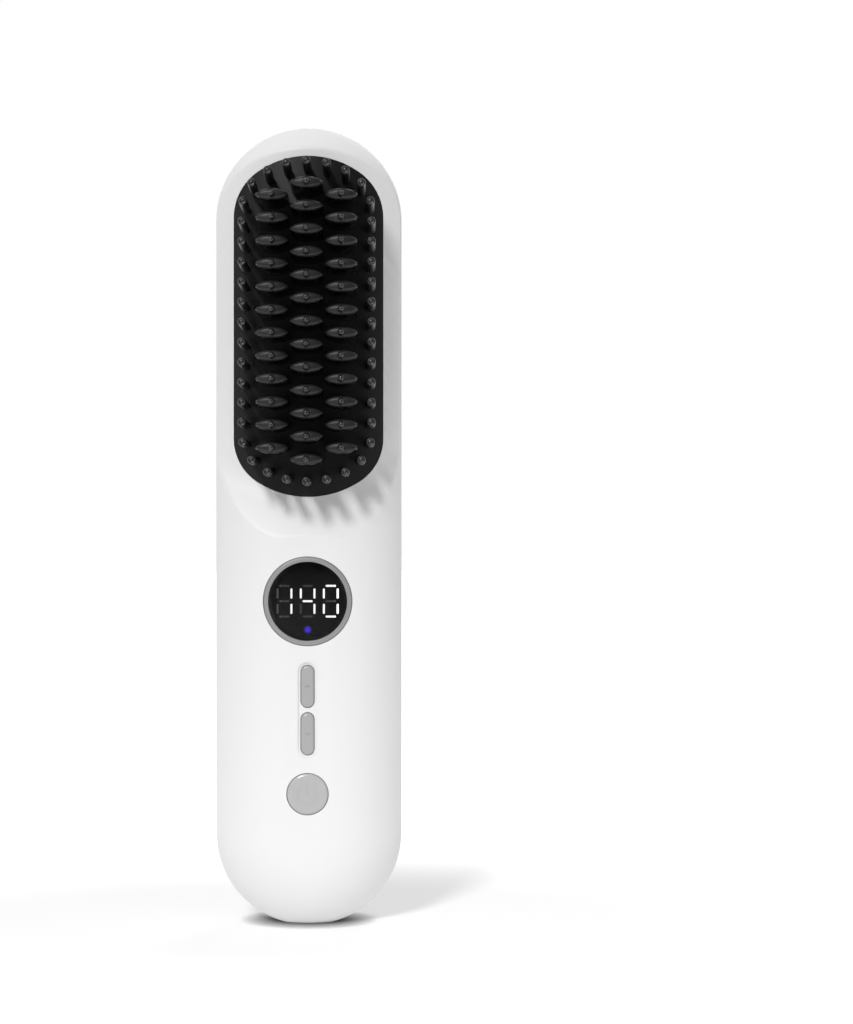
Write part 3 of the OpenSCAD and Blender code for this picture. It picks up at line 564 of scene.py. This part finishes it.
comb = dict(width=35.4, length=80.3, middle=141.9, corner=12.3, end=13.9, ledge=1.35, seat=5.3)
vents = dict(length=8.5, width=2.9, middle=141.3, pitch=16.7)
display = dict(middle=77.2, ring=20.8)
keys = dict(down=46.2, up=57.3, width=3.0, length=9.8, recess=4.5, depth=0.4, gap=0.15)
power = dict(middle=32.1, size=9.6, gap=0.15, flangeOver=0.8)
socket = dict(width=8.94, height=3.2, inside=4, outside=2)
fit = 0.1
beyond = 30   # past every surface
under = 2     # inside the front shell


def combArcs():
    # the radius of the flatter end, and the angle at which the corner's arc takes over
    side, end, corner = comb["width"] / 2, comb["end"], comb["corner"]
    tip = (side ** 2 - 2 * side * corner + end ** 2) / (2 * (end - corner))
    return tip, math.atan2(side - corner, tip - end)


def combPrism(inset, low, high):
    # a quarter of the comb plate's outline, with its flatter end and its corner, then mirrored
    side, end, corner = comb["width"] / 2, comb["end"], comb["corner"]
    tip, turn = combArcs()
    straight = comb["length"] / 2 - end
    bm = bmesh.new()
    last = [bm.verts.new((0, straight + end - inset, 0))]
    for centre, angle, steps in (((0, straight + end - tip, 0), turn, 12),
                                 ((side - corner, straight, 0), math.pi / 2 - turn, 24)):
        spun = bmesh.ops.spin(bm, geom=last, cent=centre, axis=(0, 0, -1), angle=angle, steps=steps,
                              use_merge=False)
        last = [g for g in spun["geom_last"] if isinstance(g, bmesh.types.BMVert)]
    for axis in ("X", "Y"):
        bmesh.ops.mirror(bm, geom=bm.verts[:] + bm.edges[:], axis=axis, merge_dist=touch)
    bmesh.ops.remove_doubles(bm, verts=bm.verts, dist=touch)
    loose = [v for v in bm.verts if len(v.link_edges) == 1]
    for sign in (-1, 1):
        bm.edges.new([v for v in loose if v.co.x * sign > 0])
    bmesh.ops.contextual_create(bm, geom=bm.edges[:])
    raiseFaces(bm, high - low)
    bmesh.ops.translate(bm, verts=bm.verts, vec=(0, comb["middle"], low))
    bmesh.ops.recalc_face_normals(bm, faces=bm.faces)
    return bm


def ventCutters():
    made = []
    for k in (-1, 0, 1):
        bm = stadiumPrism(vents["width"] + 2 * fit, vents["length"] + 2 * fit, -beyond, beyond,
                          steps=48)
        bmesh.ops.rotate(bm, verts=bm.verts, matrix=turned(90, "Y"))
        bmesh.ops.translate(bm, verts=bm.verts, vec=(0, vents["middle"] + k * vents["pitch"], 0))
        made.append(bm)
    return made


def mouthCutter():
    bm = stadiumPrism(socket["height"] + 2 * fit, socket["width"] + 2 * fit, -socket["outside"],
                      socket["inside"], steps=48)
    bmesh.ops.rotate(bm, verts=bm.verts, matrix=turned(90, "Z"))
    bmesh.ops.rotate(bm, verts=bm.verts, matrix=turned(-90, "X"))
    return bm


# Each stretch of the casing: how far up it goes, and how thick its slices are
frontStations = [(86, 2.4), (104, 0.45), (highEnd, 0.6)]
rearStations = [(highEnd, 2.4)]
frontSkin = sweepCasing(frontCurve, frontStations, scoopOut)
ringHole = display["ring"] + 2 * fit
powerHole = power["size"] + 2 * power["gap"]
recessLength = keys["up"] - keys["down"] + keys["length"] + keys["recess"] - keys["width"]
recessMiddle = (keys["up"] + keys["down"]) / 2
holes = [
    combPrism(-fit, comb["seat"], beyond),
    combPrism(comb["ledge"], -1, beyond),
    stadiumPrism(ringHole, ringHole, under, beyond, (0, display["middle"], 0)),
    stadiumPrism(powerHole, powerHole, under, beyond, (0, power["middle"], 0), steps=64),
    stadiumPrism(keys["recess"], recessLength, frontCurve["height"] - keys["depth"], beyond,
                 (0, recessMiddle, 0), steps=64),
]
for way in ("up", "down"):
    holes.append(stadiumPrism(keys["width"] + 2 * keys["gap"], keys["length"] + 2 * keys["gap"],
                              under, beyond, (0, keys[way], 0), steps=48))
holes += ventCutters() + [mouthCutter()]
finishPiece(cutAway(frontSkin, holes), "frontCasing", whiteGloss,
            stands=["front_shell"])

panel = dict(width=21, length=89, middle=113.3, corner=4, inside=-8)


def panelPrism(grow, low, high):
    bm = bmesh.new()
    bmesh.ops.create_grid(bm, x_segments=1, y_segments=1, size=0.5)
    bmesh.ops.scale(bm, verts=bm.verts,
                    vec=(panel["width"] + 2 * grow, panel["length"] + 2 * grow, 1))
    bmesh.ops.bevel(bm, geom=bm.verts[:], offset=panel["corner"] + grow, segments=10, profile=0.5,
                    affect="VERTICES", material=-1)
    raiseFaces(bm, high - low)
    bmesh.ops.translate(bm, verts=bm.verts, vec=(0, panel["middle"], low))
    bmesh.ops.recalc_face_normals(bm, faces=bm.faces)
    return bm


rearSkin = sweepCasing(backCurve, rearStations)
bmesh.ops.scale(rearSkin, verts=rearSkin.verts, vec=(1, 1, -1))
bmesh.ops.recalc_face_normals(rearSkin, faces=rearSkin.faces)
rearHoles = [panelPrism(fit, -beyond, panel["inside"]), *ventCutters(), mouthCutter()]
finishPiece(cutAway(rearSkin, rearHoles), "rearCasing", whiteGloss,
            stands=["rear_shell"])


def faceDrop(x):
    # how far the front face falls away at x
    r = curveRadius(frontCurve)
    past = max(abs(x) - frontCurve["flat"], 0)
    return r - math.sqrt(r * r - past * past)


def followFace(bm):
    for vert in bm.verts:
        vert.co.z += frontCurve["height"] - faceDrop(vert.co.x)


ring = dict(
    outer=10.4, inner=9.24, depth=2.2,
    shoulder=[(9.24, -0.5), (9.26, -0.1), (9.32, -0.03), (9.45, 0.0), (9.8, 0.02), (10.12, 0.0),
              (10.3, -0.08), (10.4, -0.22)],
)
ringMesh = bmesh.new()
outline = [(ring["inner"], -ring["depth"])] + ring["shoulder"] + [(ring["outer"], -ring["depth"])]
edges = drawPath(ringMesh, [(r, 0, z) for r, z in outline])
edges.append(ringMesh.edges.new((edges[-1].verts[1], edges[0].verts[0])))
bmesh.ops.spin(ringMesh, geom=ringMesh.verts[:] + edges, cent=(0, 0, 0), axis=(0, 0, 1),
               angle=math.tau, steps=128, use_merge=True)
bmesh.ops.remove_doubles(ringMesh, verts=ringMesh.verts, dist=touch)
bmesh.ops.translate(ringMesh, verts=ringMesh.verts, vec=(0, display["middle"], 0))
followFace(ringMesh)
finishPiece(ringMesh, "displayRing", ringGrey, stands=["display_ring"])

lens = dict(radius=9.2, sunk=0.22, thick=1.0, rings=8)
lensMesh = bmesh.new()
bmesh.ops.create_circle(lensMesh, cap_ends=True, segments=96, radius=lens["radius"])
for _ in range(lens["rings"] - 1):  # so that it can follow the curved face
    face = max(lensMesh.faces, key=lambda f: len(f.verts))
    bmesh.ops.inset_individual(lensMesh, faces=[face], thickness=lens["radius"] / lens["rings"],
                               use_even_offset=True)
raiseFaces(lensMesh, -lens["thick"])
bmesh.ops.translate(lensMesh, verts=lensMesh.verts, vec=(0, display["middle"], -lens["sunk"]))
followFace(lensMesh)
finishPiece(lensMesh, "displayLens", smokedLens, stands=["display_lens"])


digits = dict(
    pitch=5.4, wide=3.2, high=7.2, stroke=0.46, length=2.36, thick=0.12,
    # each stroke: how far across and up in half widths and heights, and its turn
    places=[(0, 1, 90), (1, 0.5, 0), (1, -0.5, 0), (0, -1, 90), (-1, -0.5, 0), (-1, 0.5, 0),
            (0, 0, 90)],
    lit=[(1, 2), (1, 2, 5, 6), (0, 1, 2, 3, 4, 5)],
)
strokeLevel = -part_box("lit_segments")[1][1] * 1000


def strokes(wanted):
    made = []
    for k, lit in enumerate(digits["lit"]):
        for i, (across, up, turn) in enumerate(digits["places"]):
            if (i in lit) == wanted:
                bm = stadiumPrism(digits["stroke"], digits["length"], 0, digits["thick"], steps=16)
                bmesh.ops.rotate(bm, verts=bm.verts, matrix=turned(turn, "Z"))
                x = (k - 1) * digits["pitch"] + across * digits["wide"] / 2
                y = display["middle"] + up * digits["high"] / 2
                made.append((bm, (x, y, strokeLevel)))
    return gather(made)


finishPiece(strokes(True), "litStrokes", digitLit, stands=["lit_segments"])
finishPiece(strokes(False), "unlitStrokes", unlitStrokesPaintedGlow, stands=["unlit_segments"])
indicator = dict(radius=1.15, stem=0.78, dome=0.12, middle=(0, 70.55), foot=-0.3)
indicatorMesh = lathe([
    (0, indicator["foot"]), (indicator["stem"], indicator["foot"]), (indicator["stem"], 0),
    (indicator["radius"], 0), (indicator["radius"], 0.02), (indicator["radius"] * 0.8, 0.08),
    (indicator["radius"] * 0.4, 0.11), (0, indicator["dome"])], 32)
bmesh.ops.translate(indicatorMesh, verts=indicatorMesh.verts,
                    vec=(*indicator["middle"], strokeLevel))
finishPiece(indicatorMesh, "indicatorDome", ledBlue, stands=["indicator_light"])
indicatorPlace = (0, -strokeLevel / 1000, indicator["middle"][1] / 1000)
fadeGlow(ledBlue, indicatorPlace, 0.0003, 0.00102, 1.5)


def softened(node, name, material, bevel=0.0):
    # a merged copy of the part, so that its curves shade smoothly and its edges catch light
    bm = bmesh.new()
    bm.from_mesh(nodes[node].data)
    bmesh.ops.remove_doubles(bm, verts=bm.verts, dist=1e-7)
    bmesh.ops.dissolve_limit(bm, angle_limit=math.radians(0.4), verts=bm.verts, edges=bm.edges)
    piece = finishPiece(bm, name, material, stands=[node], sharp=30, place=Matrix.Identity(4))
    if bevel:
        rounding = piece.modifiers.new("rounding", "BEVEL")
        rounding.width = bevel / 1000
        rounding.segments = 2
        rounding.limit_method = "ANGLE"
        rounding.angle_limit = math.radians(25)
        rounding.harden_normals = True


button = dict(
    top=15.95, foot=13.2, edge=0.5, slope=0.2, soft=0.12, sharp=17,
    flange=0.6, flangeOver=1.2, flangeAlong=0.2, stem=2.0, stemFoot=12.6,
)


def roundedCap(width, length, y, steps):
    # a plate with a low slope all round its top, and a small rounding below that
    brim = button["top"] - button["slope"]
    bm = stadiumPrism(width, length, button["foot"], brim, (0, y, 0), steps)
    face = max(bm.faces, key=lambda f: f.calc_center_median().z)
    bmesh.ops.inset_individual(bm, faces=[face], thickness=button["edge"], depth=button["slope"],
                               use_even_offset=True)
    rim = [e for e in bm.edges if all(abs(v.co.z - brim) < touch for v in e.verts)]
    bmesh.ops.bevel(bm, geom=rim, offset=button["soft"], segments=3, profile=0.5, affect="EDGES",
                    material=-1)
    return bm


def stemAndFlange(width, length, y, corners):
    stem = lathe([(0, button["stemFoot"]), (button["stem"] / 2, button["stemFoot"]),
                  (button["stem"] / 2, button["foot"]), (0, button["foot"])], 24)
    flange = bmesh.new()
    bmesh.ops.create_circle(flange, cap_ends=True, segments=corners, radius=0.5)
    if corners == 4:
        bmesh.ops.rotate(flange, verts=flange.verts, matrix=turned(45, "Z"))
        bmesh.ops.scale(flange, verts=flange.verts, vec=(2 ** 0.5, 2 ** 0.5, 1))
    bmesh.ops.scale(flange, verts=flange.verts, vec=(width, length, 1))
    raiseFaces(flange, button["flange"])
    return [(stem, (0, y, 0)), (flange, (0, y, button["foot"]))]


for way in ("up", "down"):
    cap = [(roundedCap(keys["width"], keys["length"], keys[way], 48), (0, 0, 0))]
    base = stemAndFlange(keys["width"] + 2 * button["flangeOver"],
                         keys["length"] + button["flangeAlong"], keys[way], 4)
    finishPiece(gather(cap + base), way + "Key", buttonGrey, way,
                [way + "_button"], button["sharp"])
flangeSize = power["size"] + 2 * power["flangeOver"]
cap = [(roundedCap(power["size"], power["size"], power["middle"], 96), (0, 0, 0))]
base = stemAndFlange(flangeSize, flangeSize, power["middle"], 64)
finishPiece(gather(cap + base), "powerKey", powerKeyPaintedLight, "power",
            ["power_button"], button["sharp"])

# Faint marks on the tops of the buttons: an arrow head each, and the generic power sign
marks = dict(
    rise=0.012, root=0.05, line=0.24, arrow=0.85, angle=52, spread=0.8,
    signRadius=2.25, signBar=(-0.35, 3.1), gap=34,
)
markFoot, markTop = button["top"] - marks["root"], button["top"] + marks["rise"]


def bar(length, angle):
    bm = stadiumPrism(marks["line"], length, markFoot, markTop, steps=16)
    bmesh.ops.rotate(bm, verts=bm.verts, matrix=turned(angle, "Z"))
    return bm


for way, turn in (("up", 1), ("down", -1)):
    reach = marks["arrow"] / 2 * math.sin(math.radians(marks["angle"])) * marks["spread"]
    arms = [(bar(marks["arrow"], turn * sign * marks["angle"]), (sign * reach, keys[way], 0))
            for sign in (-1, 1)]
    finishPiece(gather(arms), way + "Mark", markGrey, way)

signMesh = bmesh.new()
r, w = marks["signRadius"], marks["line"] / 2
section = drawPath(signMesh, [(0, r - w, markFoot), (0, r - w, markTop),
                              (0, r + w, markTop), (0, r + w, markFoot)])
section.append(signMesh.edges.new((section[-1].verts[1], section[0].verts[0])))
bmesh.ops.contextual_create(signMesh, geom=section)
bmesh.ops.rotate(signMesh, verts=signMesh.verts, matrix=turned(-marks["gap"], "Z"))
bmesh.ops.spin(signMesh, geom=signMesh.verts[:] + signMesh.edges[:] + signMesh.faces[:],
               cent=(0, 0, 0), axis=(0, 0, -1), angle=math.tau - 2 * math.radians(marks["gap"]),
               steps=72, use_merge=False)
bmesh.ops.translate(signMesh, verts=signMesh.verts, vec=(0, power["middle"], 0))
low, high = marks["signBar"]
strokePlace = (0, power["middle"] + (low + high) / 2, 0)
finishPiece(gather([(signMesh, (0, 0, 0)), (bar(high - low, 0), strokePlace)]),
            "powerMark", signGrey, "power")

softened("left_vent_inserts", "leftVents", ventGrey, bevel=0.12)
softened("right_vent_inserts", "rightVents", ventGrey, bevel=0.12)

# White ribs behind the slots, as seen through them: place along the slot, length and foot
rib = dict(thick=0.35, depth=19.1, blocks=[(0.55, 1.5, -0.35), (-0.95, 1.3, 0.2)], top=3.4, soft=0.08)
ribs = []
for side in (-1, 1):
    for k in (-1, 0, 1):
        for y, tall, low in rib["blocks"]:
            block = bmesh.new()
            bmesh.ops.create_cube(block, size=1)
            bmesh.ops.scale(block, verts=block.verts, vec=(rib["thick"], tall, rib["top"] - low))
            bmesh.ops.bevel(block, geom=block.edges[:], offset=rib["soft"], segments=2,
                            profile=0.5, affect="EDGES", material=-1)
            ribs.append((block, (side * rib["depth"], vents["middle"] + k * vents["pitch"] + y,
                                 (rib["top"] + low) / 2)))
finishPiece(gather(ribs), "ventRibs", whiteGloss)
softened("back_panel", "backCover", whiteGloss, bevel=0.08)
softened("comb_frame", "combPlate", combBlack)


# Teeth: pins round the rim and three staggered columns of fins with small tips
teeth = dict(
    level=27, crown=45,
    pins=40, pinWidth=2.0, pinInset=2.8, pinEndInset=0.6, pinFoot=6.3,
    # the pin's hollowed top, in shares of its radius and millimetres
    pinTop=[(1, -0.42), (0.97, -0.22), (0.88, -0.08), (0.74, -0.01), (0.62, 0.0), (0.52, -0.09),
            (0.40, -0.09), (0.30, -0.01), (0.0, 0.03)],
    finWidth=7.5, finThick=2.75, pinch=0.06, finFoot=6.8, round=0.85, roundSteps=5,
    # rings in the fin's flat top, each in shares of the last
    finRings=[(0.72, 0.66), (0.6, 0.5), (0.4, 0.4)],
    crownAlong=0.75, crownAcross=0.22, pitch=5.29, column=7.97, rows=13,
    nub=[(0.0, -0.6), (0.92, -0.6), (0.92, -0.12), (0.80, 0.02), (0.72, 0.3), (0.69, 0.7),
         (0.68, 1.25), (0.65, 1.45), (0.58, 1.66), (0.45, 1.84), (0.26, 1.96), (0.0, 2.0)],
)


def tipHeight(x):
    return teeth["level"] - teeth["crown"] + math.sqrt(teeth["crown"] ** 2 - x * x)


def pinPlaces():
    # evenly along the comb plate's outline drawn in, from the top centre
    side, end, corner = comb["width"] / 2, comb["end"], comb["corner"]
    tip, turn = combArcs()
    inset = teeth["pinInset"]
    tipRadius, cornerRadius = tip - inset, corner - inset
    straight = comb["length"] / 2 - end - teeth["pinEndInset"]
    arc = tipRadius * turn
    quarter = arc + cornerRadius * (math.pi / 2 - turn)
    step = 4 * (quarter + straight) / teeth["pins"]

    def around(s):
        if s < arc:
            a = s / tipRadius
            return tipRadius * math.sin(a), straight + end - tip + tipRadius * math.cos(a)
        a = turn + (s - arc) / cornerRadius
        return side - corner + cornerRadius * math.sin(a), straight + cornerRadius * math.cos(a)

    last = teeth["pins"] // 2
    places = []
    for k in range(last + 1):
        s, rest = k * step, 2 * (quarter + straight) - k * step
        if s < quarter:
            x, y = around(s)
        elif rest < quarter:
            x, y = around(rest)
            y = -y
        else:
            x, y = side - inset, straight + quarter - s
        signs = (1,) if k in (0, last) else (-1, 1)
        places += [(sign * x, comb["middle"] + y) for sign in signs]
    return places


def makePin(height):
    r = teeth["pinWidth"] / 2
    top = [(share * r, z) for share, z in teeth["pinTop"]]
    return lathe([(r, teeth["pinFoot"] - height)] + top, 20)


pins = [(makePin(tipHeight(x)), (x, y, tipHeight(x))) for x, y in pinPlaces()]
finishPiece(gather(pins), "rimPins", pinBlack, stands=["outer_pins"], sharp=50)


def makeFin(height):
    bm = bmesh.new()
    bmesh.ops.create_circle(bm, cap_ends=True, segments=36, radius=1)
    halfWidth, halfThick, soft = teeth["finWidth"] / 2, teeth["finThick"] / 2, teeth["round"]
    foot = teeth["finFoot"] - height
    for vert in bm.verts:
        u = vert.co.x
        vert.co = (u * halfWidth, vert.co.y * halfThick * (1 - teeth["pinch"] * u * u), foot)
    steps = [(1.0, 1.0, height - teeth["finFoot"] - soft)]
    wedge = 90 / teeth["roundSteps"]
    for k in range(teeth["roundSteps"]):  # the rounded edge
        a, b = math.radians(wedge * k), math.radians(wedge * (k + 1))
        before, after = soft * (1 - math.cos(a)), soft * (1 - math.cos(b))
        steps.append(((halfWidth - after) / (halfWidth - before),
                      (halfThick - after) / (halfThick - before),
                      soft * (math.sin(b) - math.sin(a))))
    steps += [(shareX, shareY, 0.0) for shareX, shareY in teeth["finRings"]]
    for sizeX, sizeY, rise in steps:
        face = max(bm.faces, key=lambda f: f.calc_center_median().z)
        ringVerts = list(bmesh.ops.extrude_discrete_faces(bm, faces=[face])["faces"][0].verts)
        bmesh.ops.scale(bm, verts=ringVerts, vec=(sizeX, sizeY, 1))
        bmesh.ops.translate(bm, verts=ringVerts, vec=(0, 0, rise))
    for vert in bm.verts:
        if vert.co.z > foot + 1:  # all but the foot
            vert.co.z -= (teeth["crownAlong"] * (vert.co.x / halfWidth) ** 2
                          + teeth["crownAcross"] * (vert.co.y / halfThick) ** 2)
    bmesh.ops.holes_fill(bm, edges=[e for e in bm.edges if e.is_boundary])
    return bm


for side, column in (("left", -1), ("centre", 0), ("right", 1)):
    count = teeth["rows"] - abs(column)
    x = column * teeth["column"]
    z = tipHeight(x)
    spots = [(x, comb["middle"] + (k - (count - 1) / 2) * teeth["pitch"], z) for k in range(count)]
    finishPiece(gather([(makeFin(z), spot) for spot in spots]), side + "Fins", finBlack,
                stands=[side + "_fins"], sharp=50)
    finishPiece(gather([(lathe(teeth["nub"], 16), spot) for spot in spots]), side + "Nubs",
                tipBlack, stands=[side + "_fin_tips"], sharp=40)


def boardGreenLook():
    # solder mask over a faint net of copper tracks
    material, tree, shader, where = startMaterial("boardGreen")
    tracks = tree.nodes.new("ShaderNodeTexBrick")
    tracks.inputs["Scale"].default_value = 420
    tracks.inputs["Mortar Size"].default_value = 0.06
    tracks.inputs["Color1"].default_value = (0.010, 0.095, 0.045, 1)
    tracks.inputs["Color2"].default_value = (0.008, 0.080, 0.038, 1)
    tracks.inputs["Mortar"].default_value = (0.030, 0.180, 0.080, 1)
    tree.links.new(where, tracks.inputs["Vector"])
    tree.links.new(tracks.outputs["Color"], shader.inputs["Base Color"])
    raised = tree.nodes.new("ShaderNodeBump")
    raised.inputs["Strength"].default_value = 0.15
    raised.inputs["Distance"].default_value = 0.0001
    tree.links.new(tracks.outputs["Fac"], raised.inputs["Height"])
    tree.links.new(raised.outputs[0], shader.inputs["Normal"])
    shader.inputs["Roughness"].default_value = 0.3
    return material


boardGreen = boardGreenLook()
heatedMetal = plastic("heatedMetal", (0.035, 0.035, 0.037), 0.38, grain=2500, bump=0.06, metal=0.7)
heaterCeramic = plastic("heaterCeramic", (0.72, 0.70, 0.64), 0.62, toneDrift=0.1, grain=5000,
                        bump=0.1)
micaFlake = plastic("micaFlake", (0.42, 0.31, 0.17), 0.34, toneDrift=0.35, glossDrift=0.3,
                    grain=1200, bump=0.1)
bracketPlastic = plastic("bracketPlastic", (0.56, 0.50, 0.40), 0.48, grain=2600, bump=0.08)
screwSteel = plastic("screwSteel", (0.50, 0.50, 0.51), 0.30, grain=5000, bump=0.06, metal=1.0)
sensorGlass = plastic("sensorGlass", (0.42, 0.14, 0.03), 0.12, toneDrift=0.2, coat=0.5)
fuseMetal = plastic("fuseMetal", (0.56, 0.54, 0.50), 0.33, grain=4000, bump=0.05, metal=1.0)
leadRed = plastic("leadRed", (0.42, 0.012, 0.010), 0.42, grain=3500, bump=0.05)
leadBlack = plastic("leadBlack", (0.012, 0.012, 0.013), 0.45, grain=3500, bump=0.05)
chipBlack = plastic("chipBlack", (0.018, 0.018, 0.019), 0.52, grain=7000, bump=0.15)
plungerIvory = plastic("plungerIvory", (0.62, 0.58, 0.47), 0.40, grain=4000, bump=0.05)
cellWrap = plastic("cellWrap", (0.012, 0.19, 0.16), 0.28, toneDrift=0.08, grain=700, bump=0.06,
                   coat=0.3)
holderWhite = plastic("holderWhite", (0.72, 0.72, 0.70), 0.50, grain=2200, bump=0.06)
nickelStrip = plastic("nickelStrip", (0.60, 0.57, 0.51), 0.26, glossDrift=0.2, grain=1800,
                      bump=0.05, metal=1.0)
foamGrey = plastic("foamGrey", (0.16, 0.16, 0.165), 0.85, toneDrift=0.3, grain=2400, bump=0.9)
looks = dict(
    heating_plate=heatedMetal, ceramic_heater=heaterCeramic, mica_sheet=micaFlake,
    heater_bracket=bracketPlastic, bracket_screws=screwSteel, thermistor=sensorGlass,
    thermal_fuse=fuseMetal, heater_leads=leadRed, display_module=moduleBlack,
    lit_segments=digitLit, unlit_segments=unlitStrokesPaintedGlow, indicator_light=ledBlue,
    control_board=boardGreen, board_chips=chipBlack, switch_bodies=chipBlack,
    up_plunger=plungerIvory, down_plunger=plungerIvory, power_plunger=plungerIvory,
    board_screws=screwSteel, battery_cells=cellWrap, battery_holder=holderWhite,
    nickel_strips=nickelStrip, battery_leads=leadRed, foam_pad=foamGrey, usb_board=boardGreen,
    usb_socket=socketSteel, charge_leads=leadBlack, shell_screws=screwSteel,
    front_shell=whiteGloss, rear_shell=whiteGloss, back_panel=whiteGloss, comb_frame=combBlack,
    outer_pins=pinBlack, left_fins=finBlack, centre_fins=finBlack, right_fins=finBlack,
    left_fin_tips=tipBlack, centre_fin_tips=tipBlack, right_fin_tips=tipBlack,
    left_vent_inserts=ventGrey, right_vent_inserts=ventGrey, display_ring=ringGrey,
    display_lens=smokedLens, up_button=buttonGrey, down_button=buttonGrey,
    power_button=buttonGrey)
for name, thing in nodes.items():
    thing.data.materials.clear()
    thing.data.materials.append(looks[name])
print("carried-over parts dressed")
